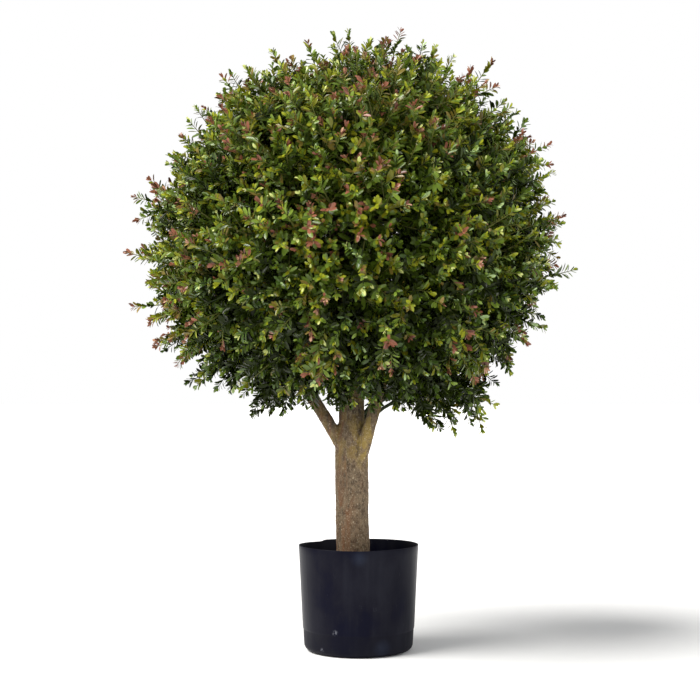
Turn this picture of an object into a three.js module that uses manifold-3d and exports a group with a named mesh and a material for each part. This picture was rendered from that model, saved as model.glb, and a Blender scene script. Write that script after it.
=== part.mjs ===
// An artificial ball topiary: box-like leaves on plastic stems, clipped to a dense ball, on a timber
// trunk that forks once and stands on the cement fill of a thin plastic pot.
// Millimetres, +Z up, front towards -Y. The origin is the centre of the pot's flat underside.
import * as THREE from 'three';
import { mergeVertices } from 'three/addons/utils/BufferGeometryUtils.js';
import Module from 'manifold-3d';

const wasm = await Module();
wasm.setup();

// ---- Driving dimensions ----

const SEAT_GAP = 0.3; // between pieces that touch
const LEAST_EDGE = 0.05; // shorter edges, left by joining, are merged

const POT_HEIGHT = 142.6;
const POT_RIM_RADIUS = 82.5;
const POT_FOOT_RADIUS = 75;
const POT_WALL = 2;
const POT_FLOOR = 3;
const POT_FOOT_ROUND = 9;
const FOOT_ROUND_STEPS = 2;
const POT_BAND_HEIGHT = 29; // lower band, moulded a little narrower than the wall above it
const POT_BAND_STEP = 0.8;
const POT_SIDES = 40;
const FILL_TOP = 116;

const TRUNK_X = -8.6; // the trunk stands a little left of the pot's centre
const TRUNK_TOP = 598;
const TRUNK_SWAY = 1.4;
const TRUNK_BENDS = 4;
const TRUNK_BEND_TURN = 2.1; // radians round the trunk from one bend to the next
const TRUNK_OFFCUT = 10; // sawn off level below the foot
const TRUNK_FOOT_RADIUS = 24.2;
const TRUNK_RADIUS = 22.6;
const TRUNK_FLARE_HEIGHT = 60;
const FORK_HEIGHT = 277;
const TRUNK_RADIUS_ABOVE_FORK = 18.4;
const TRUNK_TIP_RADIUS = 12;
const FORK_TAPER_LENGTH = 45;
const TRUNK_SIDES = 16;
const TRUNK_STEPS = 16;

// Each bough sets out inside the trunk, and its middle bows out from the straight line.
const BOUGHS = [
  { name: 'bough_left', root: [-8, -2, 252], tip: [-90, -6, 386], bow: [5, -2, 0] },
  { name: 'bough_right', root: [-3, -9, 246], tip: [37, -30, 386], bow: [1, -7, 0] },
];
const BOUGH_ROOT_RADIUS = 10.5;
const BOUGH_TIP_RADIUS = 7.6;
const BOUGH_SIDES = 12;
const BOUGH_STEPS = 7;

const CROWN_CENTRE = new THREE.Vector3(-7.6, 0, 573);
const CROWN_REACH_SIDE = 284;
const CROWN_REACH_UP = 268;
const CROWN_REACH_DOWN = 238;
const CROWN_POWER_UP = 2.1; // 2 is an ellipse, more is boxier
const CROWN_POWER_DOWN = 2.9;

// Where the clipping left the ball full or flat: the angle up from +X seen from the front, the
// share added to its reach there, and how far round that goes, in degrees.
const CROWN_SWELLS = [
  { angle: 44, rise: 0.04, width: 8 },
  { angle: 60, rise: -0.095, width: 15 },
  { angle: 106, rise: -0.135, width: 23 },
  { angle: 144, rise: -0.12, width: 13 },
  { angle: 176, rise: 0.045, width: 14 },
  { angle: 198, rise: 0.02, width: 28 },
  { angle: 243, rise: 0.05, width: 8 },
  { angle: 298, rise: 0.07, width: 10 },
  { angle: 322, rise: 0.03, width: 8 },
  { angle: 350, rise: 0.045, width: 16 },
];

const CORE_SHARE = 0.8; // the core's reach as a share of the crown's
const CORE_LUMP = 0.06;
const CORE_DETAIL = 3;
const CORE_LIMB_CLEARANCE = 6;
const CHANNEL_SIDES = 8; // of the channel that a limb runs through
const CHANNEL_STEPS = 3;
const SPACE_MARGIN = 0.8; // from a mass to the face that it shares with its neighbour

const STEM_RADIUS = 8;
const STEM_SIDES = 8;
const STEM_STEPS = 4;
const TWIG_SIDES = 3;
const FLAT_OFFSET = Math.PI / 2; // round a twig, from its level side to the middle of a flat
const CARRIER_RADIUS = 3;
const SPRIG_RADIUS = 3.6;
const SPRIG_TIP_RADIUS = 2.8;
const SPRIG_ROOT_SHARE = 0.93; // the share of the core's reach from which a sprig sets out
const SPRIG_COUNT = 122;
const SPRIG_JITTER = 0.16;
const SPRIG_REACH_JITTER = 0.045;

const LEAF_LENGTH = 48;
const LEAF_WIDTH = 24;
const LEAF_THICKNESS = 2.2;
const LEAF_SUNK = 1.2; // how far a leaf's root passes the middle of its twig
const LEAF_WIDEST = 0.42; // the share of its length at which a leaf is widest
const LEAF_WHORLS = 1;
const WHORL_STEP = 14;
const WHORL_SWING = 0.2;
const FIRST_WHORL_BACK = 8; // from a twig's end to its last whorl
const TIP_LEAF_SUNK = 5;
const LEAF_SPREAD = THREE.MathUtils.degToRad(66);
const LEAF_FOLD = THREE.MathUtils.degToRad(17); // taken off the spread at each new try
const LEAF_TRIES = 3;
const LEAF_SPREAD_JITTER = 0.12;
const LEAF_TILT_JITTER = 0.35;
const LEAF_LIMB_CLEARANCE = 2;
const LIMB_SAMPLES = 60; // points along a limb that leaves and twigs are held clear of
const RUN_SAMPLES = 8; // points along a twig that are tested

// Each mass of foliage keeps to the points nearer to its middle than to any other mass's.
const MASSES = [
  { name: 'foliage_top', middle: [0, 0, 150], limb: 'trunk', colour: 0x5f6a37 },
  { name: 'foliage_left', middle: [-150, 10, -42], limb: 'bough_left', colour: 0x49552c },
  { name: 'foliage_right', middle: [150, -10, -42], limb: 'bough_right', colour: 0x435229 },
  { name: 'foliage_front', middle: [-6, -150, -38], limb: 'trunk', colour: 0x68703a },
  { name: 'foliage_back', middle: [6, 150, -38], limb: 'trunk', colour: 0x4f5c30 },
];
const SIDE_STEM_DROP = 70; // how far below its mass's middle a stem leaves the trunk's side

// Sprigs that stand out past the clipped ball: angle up from +X seen from the front, and reach.
const STRAY_SPRIGS = [
  { angle: 350, reach: 309 },
  { angle: 24, reach: 296 },
  { angle: 51, reach: 301 },
  { angle: 77, reach: 285 },
  { angle: 91, reach: 277 },
  { angle: 127, reach: 279 },
  { angle: 171, reach: 306 },
  { angle: 185, reach: 310 },
  { angle: 199, reach: 318 },
  { angle: 210, reach: 314 },
  { angle: 222, reach: 307 },
  { angle: 242, reach: 289 },
  { angle: 292, reach: 290 },
  { angle: 297, reach: 310 },
  { angle: 303, reach: 326 },
];

const POT_COLOUR = 0x1c1c22;
const FILL_COLOUR = 0x8d8a83;
const TRUNK_COLOUR = 0x6a5c4b;
const BOUGH_COLOUR = 0x6d5e42;

// ---- Seeded chance ----

let chanceState = 20;

function chance() {
  chanceState = (chanceState + 0x6d2b79f5) | 0;
  let mixed = Math.imul(chanceState ^ (chanceState >>> 15), 1 | chanceState);
  mixed = (mixed + Math.imul(mixed ^ (mixed >>> 7), 61 | mixed)) ^ mixed;
  return ((mixed ^ (mixed >>> 14)) >>> 0) / 4294967296;
}

function spread(size) {
  return (2 * chance() - 1) * size;
}

function chanceVector(size) {
  return new THREE.Vector3(spread(size), spread(size), spread(size));
}

// ---- Geometry and solids ----

function positionsOnly(geometry) {
  const bare = geometry.clone();
  bare.deleteAttribute('normal');
  bare.deleteAttribute('uv');
  return mergeVertices(bare);
}

function solidOf(geometry) {
  const merged = positionsOnly(geometry);
  return new wasm.Manifold(new wasm.Mesh({
    numProp: 3,
    vertProperties: merged.attributes.position.array,
    triVerts: new Uint32Array(merged.index.array),
  }));
}

function geometryOf(solid) {
  const mesh = solid.getMesh();
  const geometry = new THREE.BufferGeometry();
  geometry.setAttribute('position', new THREE.BufferAttribute(mesh.vertProperties, 3));
  geometry.setIndex(new THREE.BufferAttribute(mesh.triVerts, 1));
  geometry.computeVertexNormals();
  return geometry;
}

// The largest closed body of a solid: loose scraps go, and a sealed hollow is filled.
function mainBody(solid) {
  const bodies = solid.decompose();
  return bodies.reduce((most, body) => (body.volume() > most.volume() ? body : most));
}

// A unit vector square to another, level where it can be.
function squareTo(along) {
  const guide = Math.abs(along.z) < 0.9 ? new THREE.Vector3(0, 0, 1) : new THREE.Vector3(0, 1, 0);
  return new THREE.Vector3().crossVectors(along, guide).normalize();
}

// A closed limb: a cylinder whose rings are laid square to a curve, with radiusAt(share).
function limbGeometry(curve, radiusAt, sides, steps, roll = 0) {
  const geometry = positionsOnly(new THREE.CylinderGeometry(1, 1, 1, sides, steps));
  const position = geometry.attributes.position;
  const vertex = new THREE.Vector3();
  for (let i = 0; i < position.count; i += 1) {
    vertex.fromBufferAttribute(position, i);
    const share = vertex.y + 0.5;
    const along = curve.getTangentAt(share);
    const aside = squareTo(along).applyAxisAngle(along, roll);
    const across = new THREE.Vector3().crossVectors(aside, along);
    const place = curve.getPointAt(share);
    place.addScaledVector(aside, radiusAt(share) * vertex.x);
    place.addScaledVector(across, radiusAt(share) * vertex.z);
    position.setXYZ(i, place.x, place.y, place.z);
  }
  return geometry;
}

function meshOf(name, geometry, colour, roughness) {
  const material = new THREE.MeshStandardMaterial({ color: colour, roughness, metalness: 0 });
  const mesh = new THREE.Mesh(geometry, material);
  mesh.name = name;
  return mesh;
}

// ---- Pot and fill ----

function potRadiusAt(height) {
  return THREE.MathUtils.lerp(POT_FOOT_RADIUS, POT_RIM_RADIUS, height / POT_HEIGHT);
}

function turned(outline) {
  return new THREE.LatheGeometry(outline, POT_SIDES).rotateX(Math.PI / 2);
}

function potGeometry() {
  const footFlat = potRadiusAt(POT_FOOT_ROUND) - POT_BAND_STEP - POT_FOOT_ROUND;
  const outer = new THREE.Path();
  outer.moveTo(0, 0);
  outer.lineTo(footFlat, 0);
  outer.absarc(footFlat, POT_FOOT_ROUND, POT_FOOT_ROUND, -Math.PI / 2, 0, false);
  outer.lineTo(potRadiusAt(POT_BAND_HEIGHT) - POT_BAND_STEP, POT_BAND_HEIGHT);
  outer.lineTo(potRadiusAt(POT_BAND_HEIGHT), POT_BAND_HEIGHT + POT_BAND_STEP);
  outer.lineTo(POT_RIM_RADIUS, POT_HEIGHT);
  outer.lineTo(POT_RIM_RADIUS - POT_WALL, POT_HEIGHT);
  outer.lineTo(potRadiusAt(POT_BAND_HEIGHT) - POT_BAND_STEP - POT_WALL, POT_BAND_HEIGHT);
  outer.lineTo(footFlat + POT_WALL, POT_FLOOR);
  outer.lineTo(0, POT_FLOOR);
  return turned(outer.getPoints(FOOT_ROUND_STEPS));
}

function fillGeometry() {
  const low = POT_BAND_HEIGHT + POT_BAND_STEP;
  const wallRadiusAt = (height) => potRadiusAt(height) - POT_WALL - POT_BAND_STEP - SEAT_GAP;
  const outline = [
    new THREE.Vector2(0, POT_FLOOR + SEAT_GAP),
    new THREE.Vector2(wallRadiusAt(0) - POT_FOOT_ROUND, POT_FLOOR + SEAT_GAP),
    new THREE.Vector2(wallRadiusAt(low) - SEAT_GAP, low),
    new THREE.Vector2(wallRadiusAt(FILL_TOP), FILL_TOP),
    new THREE.Vector2(0, FILL_TOP),
  ];
  return turned(outline);
}

// ---- Trunk and boughs ----

function trunkRadiusAt(height) {
  const flare = Math.max(0, 1 - (height - FILL_TOP) / TRUNK_FLARE_HEIGHT);
  const shaft = TRUNK_RADIUS + (TRUNK_FOOT_RADIUS - TRUNK_RADIUS) * flare * flare;
  if (height < FORK_HEIGHT) return shaft;
  const leader = (height - FORK_HEIGHT) / (TRUNK_TOP - FORK_HEIGHT);
  const upper = THREE.MathUtils.lerp(TRUNK_RADIUS_ABOVE_FORK, TRUNK_TIP_RADIUS, leader);
  const blend = THREE.MathUtils.smoothstep(height, FORK_HEIGHT, FORK_HEIGHT + FORK_TAPER_LENGTH);
  return THREE.MathUtils.lerp(shaft, upper, blend);
}

const trunkFoot = FILL_TOP + SEAT_GAP;
const trunkBends = [];
for (let bend = 0; bend <= TRUNK_BENDS; bend += 1) {
  const sway = new THREE.Vector3(TRUNK_SWAY, 0, 0);
  sway.applyAxisAngle(new THREE.Vector3(0, 0, 1), bend * TRUNK_BEND_TURN);
  const height = THREE.MathUtils.lerp(trunkFoot - TRUNK_OFFCUT, TRUNK_TOP, bend / TRUNK_BENDS);
  trunkBends.push(sway.add(new THREE.Vector3(TRUNK_X, 0, height)));
}
const trunkCurve = new THREE.CatmullRomCurve3(trunkBends);

const boughCurves = {};
for (const { name, root, tip, bow } of BOUGHS) {
  const [from, to] = [new THREE.Vector3(...root), new THREE.Vector3(...tip)];
  const middle = from.clone().lerp(to, 0.5).add(new THREE.Vector3(...bow));
  boughCurves[name] = new THREE.QuadraticBezierCurve3(from, middle, to);
}

function boughRadiusAt(share) {
  return THREE.MathUtils.lerp(BOUGH_ROOT_RADIUS, BOUGH_TIP_RADIUS, Math.sqrt(share));
}

function trunkSolid(clearance, sides = TRUNK_SIDES, steps = TRUNK_STEPS) {
  const radiusAt = (share) => trunkRadiusAt(trunkCurve.getPointAt(share).z) + clearance;
  return solidOf(limbGeometry(trunkCurve, radiusAt, sides, steps));
}

function trunkGeometry() {
  return geometryOf(trunkSolid(0).trimByPlane([0, 0, 1], trunkFoot));
}

function boughSolid(name, clearance, sides = BOUGH_SIDES, steps = BOUGH_STEPS) {
  const radiusAt = (share) => boughRadiusAt(share) + clearance;
  return solidOf(limbGeometry(boughCurves[name], radiusAt, sides, steps));
}

// ---- Crown ----

// A direction in the plane that faces the front, from its angle up from +X.
function frontDirection(angle) {
  const turn = THREE.MathUtils.degToRad(angle);
  return new THREE.Vector3(Math.cos(turn), 0, Math.sin(turn));
}

// The share by which the ball is fuller or flatter in a direction than an even one.
function crownSwell(direction) {
  return CROWN_SWELLS.reduce((share, { angle, rise, width }) => {
    const off = THREE.MathUtils.radToDeg(direction.angleTo(frontDirection(angle)));
    return share + rise * Math.exp(-((off / width) ** 2));
  }, 1);
}

// How far the clipped ball reaches from its centre in a direction.
function crownReach(direction) {
  const rise = direction.z > 0 ? CROWN_REACH_UP : CROWN_REACH_DOWN;
  const power = direction.z > 0 ? CROWN_POWER_UP : CROWN_POWER_DOWN;
  const level = Math.hypot(direction.x, direction.y) / CROWN_REACH_SIDE;
  const height = Math.abs(direction.z) / rise;
  return crownSwell(direction) * (level ** power + height ** power) ** (-1 / power);
}

function coreSolid() {
  const geometry = positionsOnly(new THREE.IcosahedronGeometry(1, CORE_DETAIL));
  const position = geometry.attributes.position;
  const vertex = new THREE.Vector3();
  for (let i = 0; i < position.count; i += 1) {
    vertex.fromBufferAttribute(position, i).normalize();
    const reach = crownReach(vertex) * CORE_SHARE * (1 + spread(CORE_LUMP));
    vertex.multiplyScalar(reach).add(CROWN_CENTRE);
    position.setXYZ(i, vertex.x, vertex.y, vertex.z);
  }
  return solidOf(geometry);
}

const masses = MASSES.map((mass) => (
  { ...mass, middle: new THREE.Vector3(...mass.middle).add(CROWN_CENTRE) }
));

// The faces that part a mass from its neighbours, each pointing into the mass.
function spaceFaces(mass) {
  return masses.filter((other) => other !== mass).map((other) => {
    const inward = mass.middle.clone().sub(other.middle).normalize();
    const between = mass.middle.clone().add(other.middle).multiplyScalar(0.5);
    return { inward, offset: inward.dot(between) + SPACE_MARGIN };
  });
}

function isInside(faces, point, margin = 0) {
  return faces.every((face) => face.inward.dot(point) > face.offset + margin);
}

function limbSamples(curve, radiusAt) {
  return curve.getSpacedPoints(LIMB_SAMPLES).map((point, i) => (
    { point, radius: radiusAt(i / LIMB_SAMPLES, point) }
  ));
}

const allLimbSamples = [
  ...limbSamples(trunkCurve, (share, point) => trunkRadiusAt(point.z)),
  ...limbSamples(boughCurves.bough_left, boughRadiusAt),
  ...limbSamples(boughCurves.bough_right, boughRadiusAt),
];

function isClearOfLimbs(point) {
  return allLimbSamples.every((sample) => (
    sample.point.distanceTo(point) > sample.radius + LEAF_LIMB_CLEARANCE
  ));
}

function isClearRun(from, to, faces) {
  for (let i = 0; i <= RUN_SAMPLES; i += 1) {
    const point = from.clone().lerp(to, i / RUN_SAMPLES);
    if (!isInside(faces, point, SPRIG_RADIUS) || !isClearOfLimbs(point)) return false;
  }
  return true;
}

// The stem that carries a mass: from its limb's tip, or the trunk's side, to the mass's middle.
function stemCurve(mass) {
  const limbCurve = boughCurves[mass.limb];
  if (limbCurve) {
    const along = limbCurve.getTangentAt(1);
    const root = limbCurve.getPointAt(1).addScaledVector(along, SEAT_GAP);
    const bend = root.clone().addScaledVector(along, root.distanceTo(mass.middle) / 2);
    return new THREE.QuadraticBezierCurve3(root, bend, mass.middle);
  }
  const isOverTrunk = mass.middle.z > TRUNK_TOP;
  const rootHeight = isOverTrunk ? TRUNK_TOP + SEAT_GAP : mass.middle.z - SIDE_STEM_DROP;
  const root = new THREE.Vector3(TRUNK_X, 0, rootHeight);
  const bend = root.clone().lerp(mass.middle, 0.5);
  return new THREE.QuadraticBezierCurve3(root, bend, mass.middle);
}

function straightTwig(from, to, rootRadius, tipRadius, roll = 0) {
  const radiusAt = (share) => THREE.MathUtils.lerp(rootRadius, tipRadius, share);
  return limbGeometry(new THREE.LineCurve3(from, to), radiusAt, TWIG_SIDES, 1, roll);
}

// The way that each flat of a straight twig faces.
function twigFlats(axis, roll) {
  const turn = (2 * Math.PI) / TWIG_SIDES;
  const flats = [];
  for (let k = 0; k < TWIG_SIDES; k += 1) {
    flats.push(squareTo(axis).applyAxisAngle(axis, roll + k * turn + FLAT_OFFSET));
  }
  return flats;
}

// A leaf of eight faces from its root along a direction, with its upper side facing a way.
function leafGeometry(root, along, facing) {
  const across = new THREE.Vector3().crossVectors(facing, along).normalize();
  const upward = new THREE.Vector3().crossVectors(along, across);
  const geometry = positionsOnly(new THREE.OctahedronGeometry(0.5));
  const position = geometry.attributes.position;
  for (let i = 0; i < position.count; i += 1) {
    const isEnd = position.getX(i) !== 0;
    position.setX(i, isEnd ? position.getX(i) + 0.5 : LEAF_WIDEST);
  }
  geometry.scale(LEAF_LENGTH, LEAF_WIDTH, LEAF_THICKNESS);
  const frame = new THREE.Matrix4().makeBasis(along, across, upward).setPosition(root);
  return geometry.applyMatrix4(frame);
}

function fits(geometry, faces) {
  const position = geometry.attributes.position;
  const vertex = new THREE.Vector3();
  const middle = new THREE.Vector3();
  geometry.computeBoundingBox();
  geometry.boundingBox.getCenter(middle);
  for (let i = 0; i < position.count; i += 1) {
    vertex.fromBufferAttribute(position, i);
    if (!isInside(faces, vertex)) return false;
    if (!isClearOfLimbs(vertex)) return false;
    if (!isClearOfLimbs(vertex.lerp(middle, 0.5))) return false;
  }
  return isClearOfLimbs(middle);
}

// A leaf that folds up towards its twig until it keeps to the mass's space, or nothing.
function sideLeaf(station, axis, side, faces) {
  for (let attempt = 0; attempt < LEAF_TRIES; attempt += 1) {
    const angle = LEAF_SPREAD - attempt * LEAF_FOLD + spread(LEAF_SPREAD_JITTER);
    const along = axis.clone().multiplyScalar(Math.cos(angle));
    along.addScaledVector(side, Math.sin(angle)).normalize();
    const root = station.clone().addScaledVector(along, -LEAF_SUNK);
    const facing = axis.clone().add(chanceVector(LEAF_TILT_JITTER));
    const leaf = leafGeometry(root, along, facing);
    if (fits(leaf, faces)) return leaf;
  }
  return null;
}

// One sprig: a three-sided twig with whorls of leaves, one from each flat, and a leaf at its tip.
function sprigGeometries(root, axis, length, faces) {
  const twigLength = length - LEAF_LENGTH + TIP_LEAF_SUNK;
  const end = root.clone().addScaledVector(axis, twigLength);
  if (!isClearRun(root, end, faces)) return [];
  const roll = spread(Math.PI);
  const flats = twigFlats(axis, roll);
  const pieces = [straightTwig(root, end, SPRIG_RADIUS, SPRIG_TIP_RADIUS, roll)];
  for (let whorl = 0; whorl < LEAF_WHORLS; whorl += 1) {
    const station = end.clone().addScaledVector(axis, -FIRST_WHORL_BACK - whorl * WHORL_STEP);
    for (const flat of flats) {
      const side = flat.clone().applyAxisAngle(axis, spread(WHORL_SWING));
      pieces.push(sideLeaf(station, axis, side, faces));
    }
  }
  const tipRoot = end.clone().addScaledVector(axis, -TIP_LEAF_SUNK);
  const tipLeaf = leafGeometry(tipRoot, axis, flats[0]);
  pieces.push(fits(tipLeaf, faces) ? tipLeaf : null);
  return pieces.filter((piece) => piece);
}

// Directions spread evenly over the ball by the golden angle, with the stray sprigs after them.
function sprigPlan() {
  const plan = [];
  const turn = Math.PI * (3 - Math.sqrt(5));
  for (let k = 0; k < SPRIG_COUNT; k += 1) {
    const height = 1 - (2 * (k + 0.5)) / SPRIG_COUNT;
    const level = Math.sqrt(1 - height * height);
    const direction = new THREE.Vector3(level * Math.cos(k * turn), level * Math.sin(k * turn), height);
    direction.add(chanceVector(0.5 * SPRIG_JITTER)).normalize();
    const reach = crownReach(direction) * (1 + spread(SPRIG_REACH_JITTER));
    plan.push({ direction, reach, axis: direction.clone().add(chanceVector(SPRIG_JITTER)).normalize() });
  }
  for (const { angle, reach } of STRAY_SPRIGS) {
    const direction = frontDirection(angle);
    plan.push({ direction, reach, axis: direction.clone() });
  }
  return plan;
}

// The part of the ball's core in a mass's space, cut clear of the limbs.
function massCore(ball, faces) {
  let body = ball;
  for (const face of faces) body = body.trimByPlane(face.inward.toArray(), face.offset);
  body = body.subtract(trunkSolid(CORE_LIMB_CLEARANCE, CHANNEL_SIDES, CHANNEL_STEPS));
  for (const { name } of BOUGHS) {
    body = body.subtract(boughSolid(name, CORE_LIMB_CLEARANCE, CHANNEL_SIDES, CHANNEL_STEPS));
  }
  return body;
}

function massGeometry(mass, ball, plan) {
  const faces = spaceFaces(mass);
  const stem = limbGeometry(stemCurve(mass), () => STEM_RADIUS, STEM_SIDES, STEM_STEPS);
  const pieces = [];
  for (const { direction, reach, axis } of plan) {
    const tip = CROWN_CENTRE.clone().addScaledVector(direction, reach);
    const rootReach = crownReach(direction) * CORE_SHARE * SPRIG_ROOT_SHARE;
    const root = CROWN_CENTRE.clone().addScaledVector(direction, rootReach);
    if (!isInside(faces, tip) || !isClearRun(mass.middle, root, faces)) continue;
    pieces.push(straightTwig(mass.middle, root, CARRIER_RADIUS, SPRIG_RADIUS));
    pieces.push(...sprigGeometries(root, axis, reach - rootReach, faces));
  }
  const solids = [massCore(ball, faces), solidOf(stem).subtract(trunkSolid(SEAT_GAP))];
  solids.push(...pieces.map(solidOf));
  return geometryOf(mainBody(wasm.Manifold.union(solids)).simplify(LEAST_EDGE));
}

// ---- The whole plant ----

const topiary = new THREE.Group();
topiary.add(meshOf('pot', potGeometry(), POT_COLOUR, 0.45));
topiary.add(meshOf('pot_fill', fillGeometry(), FILL_COLOUR, 0.95));
topiary.add(meshOf('trunk', trunkGeometry(), TRUNK_COLOUR, 0.9));
for (const { name } of BOUGHS) {
  const bough = mainBody(boughSolid(name, 0).subtract(trunkSolid(SEAT_GAP)));
  topiary.add(meshOf(name, geometryOf(bough), BOUGH_COLOUR, 0.9));
}
const plan = sprigPlan();
const ball = coreSolid();
for (const mass of masses) {
  topiary.add(meshOf(mass.name, massGeometry(mass, ball, plan), mass.colour, 0.5));
}

export default topiary;
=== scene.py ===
"""Looks of an artificial ball topiary: a clipped ball of small plastic leaves in sprays, on a
timber trunk that forks once and stands in a thin black nursery pot. Metres, +Z up, front to -Y."""
import functools
import math

import bmesh
import bpy
import numpy as np
from mathutils import Matrix, Vector, noise


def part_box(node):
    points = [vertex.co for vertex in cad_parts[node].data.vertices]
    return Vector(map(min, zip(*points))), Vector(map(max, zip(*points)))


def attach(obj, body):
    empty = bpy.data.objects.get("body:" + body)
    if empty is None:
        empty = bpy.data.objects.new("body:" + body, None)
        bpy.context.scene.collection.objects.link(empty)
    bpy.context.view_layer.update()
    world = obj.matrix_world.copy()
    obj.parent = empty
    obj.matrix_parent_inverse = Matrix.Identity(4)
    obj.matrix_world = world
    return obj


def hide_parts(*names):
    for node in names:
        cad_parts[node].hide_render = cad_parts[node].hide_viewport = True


bl_info = {
    "name": "Ball Topiary",
    "version": (1, 0, 0),
    "blender": (4, 5, 0),
    "location": "View3D > Sidebar > Topiary",
    "description": "Dresses an artificial ball topiary in a nursery pot",
    "category": "Add Mesh",
}

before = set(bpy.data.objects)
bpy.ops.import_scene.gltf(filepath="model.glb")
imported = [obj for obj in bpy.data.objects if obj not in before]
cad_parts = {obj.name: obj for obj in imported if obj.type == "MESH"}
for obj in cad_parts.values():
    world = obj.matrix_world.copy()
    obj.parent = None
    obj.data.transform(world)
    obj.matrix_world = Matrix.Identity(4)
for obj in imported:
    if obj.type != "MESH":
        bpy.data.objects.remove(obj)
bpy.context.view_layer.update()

MM = 0.001
UP = Vector((0, 0, 1))
_, POT_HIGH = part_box("pot")
FILL_LOW, FILL_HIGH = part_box("pot_fill")
TRUNK_LOW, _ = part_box("trunk")


def length_setting(name, description, default):
    """A length that a user may change, in metres."""
    return bpy.props.FloatProperty(
        name=name, description=description, default=default, min=0, unit="LENGTH", precision=4
    )


def number_setting(name, description, default, most=1.0):
    """A plain number that a user may change."""
    return bpy.props.FloatProperty(
        name=name, description=description, default=default, min=0, max=most
    )


def place_setting(name, description, default):
    """A point in the scene that a user may move."""
    return bpy.props.FloatVectorProperty(
        name=name, description=description, default=default, subtype="TRANSLATION"
    )


def colour_setting(name, description, *screen):
    """A colour that a user may change, given as it looks on a screen, 0 to 255."""
    return bpy.props.FloatVectorProperty(
        name=name, description=description, default=rgb(*screen), subtype="COLOR", min=0, max=1
    )


def linear(value):
    """A screen value, 0 to 255, as the light it stands for."""
    value /= 255
    return value / 12.92 if value <= 0.04045 else ((value + 0.055) / 1.055) ** 2.4


def rgb(red, green, blue):
    """A screen colour, 0 to 255, as light."""
    return linear(red), linear(green), linear(blue)


def opaque(colour):
    return (*colour, 1)


# ---- Settings ----


class TopiaryPotSettings(bpy.types.PropertyGroup):
    """Sizes and colours of the nursery pot and its cement."""

    rim_radius: length_setting("Rim radius", "Outer radius at the rim", POT_HIGH.x)
    foot_radius: length_setting("Foot radius", "Outer radius the wall tapers to", 0.075)
    height: length_setting("Height", "From the underside to the rim", POT_HIGH.z)
    wall: length_setting("Wall", "Thickness of the moulded wall", 0.0014)
    floor: length_setting("Floor", "Thickness of the bottom", 0.003)
    foot_round: length_setting("Foot round", "Radius of the bottom edge", 0.009)
    band_height: length_setting("Band height", "Height of the narrower lower band", 0.029)
    band_step: length_setting("Band step", "How far the lower band is set in", 0.0008)
    rim_dip: length_setting("Rim dip", "How far the soft rim sags at its back left", 0.0021)
    plastic: colour_setting("Plastic", "Blue-black plastic", 15, 15, 26)
    scuff: colour_setting("Scuff", "Rubbed and dusty plastic", 56, 58, 66)
    cement: colour_setting("Cement", "Cast cement", 141, 137, 129)


class TopiaryWoodSettings(bpy.types.PropertyGroup):
    """Sizes and colours of the trunk and boughs."""

    voxel: length_setting("Voxel", "Grain of the fused trunk and boughs", 0.00125)
    lump: length_setting("Lump", "Height of the slow swellings", 0.0011)
    ridge: length_setting("Ridge", "Height of the long bark ridges", 0.0009)
    pore: length_setting("Pore", "Height of the fine bark grain", 0.00045)
    bark: colour_setting("Bark", "Grey-brown bark", 144, 124, 99)
    shade: colour_setting("Shade", "Dark bark in the hollows", 82, 68, 54)
    rust: colour_setting("Rust", "Reddish patches", 130, 89, 60)
    lichen: colour_setting("Lichen", "Pale specks and lichen", 204, 194, 168)
    olive: colour_setting("Olive", "Yellow-green bark at the fork and on the boughs", 164, 140, 74)


class TopiaryCrownSettings(bpy.types.PropertyGroup):
    """Counts and sizes of the sprays that make up the ball."""

    seed: bpy.props.IntProperty(name="Seed", description="Seed of the finer twigs", default=7)
    sprays: bpy.props.IntProperty(
        name="Sprays", description="Sprays spread over the ball", default=1100, min=50, max=2500
    )
    side_sprigs: bpy.props.IntProperty(
        name="Side sprigs", description="Side sprigs on each spray", default=6, min=1, max=14
    )
    sprig_length: length_setting("Sprig length", "Usual length of a sprig", 0.050)
    sprig_step: length_setting("Sprig step", "From one side sprig to the next", 0.0095)
    pair_step: length_setting("Pair step", "From one pair of leaves to the next", 0.0048)
    leaf_length: length_setting("Leaf length", "Length of a full leaf", 0.0128)
    leaf_width: length_setting("Leaf width", "Width of a full leaf", 0.0049)
    leaf_gloss: number_setting("Leaf roughness", "Roughness of the plastic leaves", 0.26)


class TopiaryStageSettings(bpy.types.PropertyGroup):
    """Light, floor and camera."""

    ambient: number_setting("Ambient", "Strength of the light from all round", 0.42, 10)
    key: number_setting("Key light", "Strength of the broad light from the upper left", 4.95, 10)
    fill: number_setting("Fill light", "Strength of the broad light from the right", 0.8, 10)
    camera_place: place_setting("Camera", "Where the camera stands", (-0.0117, -2.1, 0.385))
    camera_aim: place_setting("Aim", "What the camera looks at", (-0.0117, 0, 0.4106))
    lens: bpy.props.FloatProperty(
        name="Lens", description="Focal length on a 36 mm sensor", default=78.4, unit="CAMERA"
    )


# ---- Pieces and finishes ----

# The mix node's colour sockets, which have the same names as its plain ones.
MIX_FIRST, MIX_SECOND, MIX_RESULT = 6, 7, 2


def finish_piece(mesh, materials, slot, *nodes):
    """Shows a mesh as a piece of the plant that stands for the named CAD nodes."""
    piece = bpy.data.objects.new(mesh.name, mesh)
    bpy.context.scene.collection.objects.link(piece)
    for material in materials:
        mesh.materials.append(material)
    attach(piece, "root")
    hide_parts(*nodes)


def mesh_from(bm, name, smooth_angle=None):
    """Ends a bmesh as a mesh, smooth but for edges sharper than an angle."""
    for face in bm.faces:
        face.smooth = True
    if smooth_angle is not None:
        for edge in bm.edges:
            edge.smooth = len(edge.link_faces) == 2 and edge.calc_face_angle(0) < smooth_angle
    mesh = bpy.data.meshes.new(name)
    bm.to_mesh(mesh)
    bm.free()
    return mesh


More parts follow.
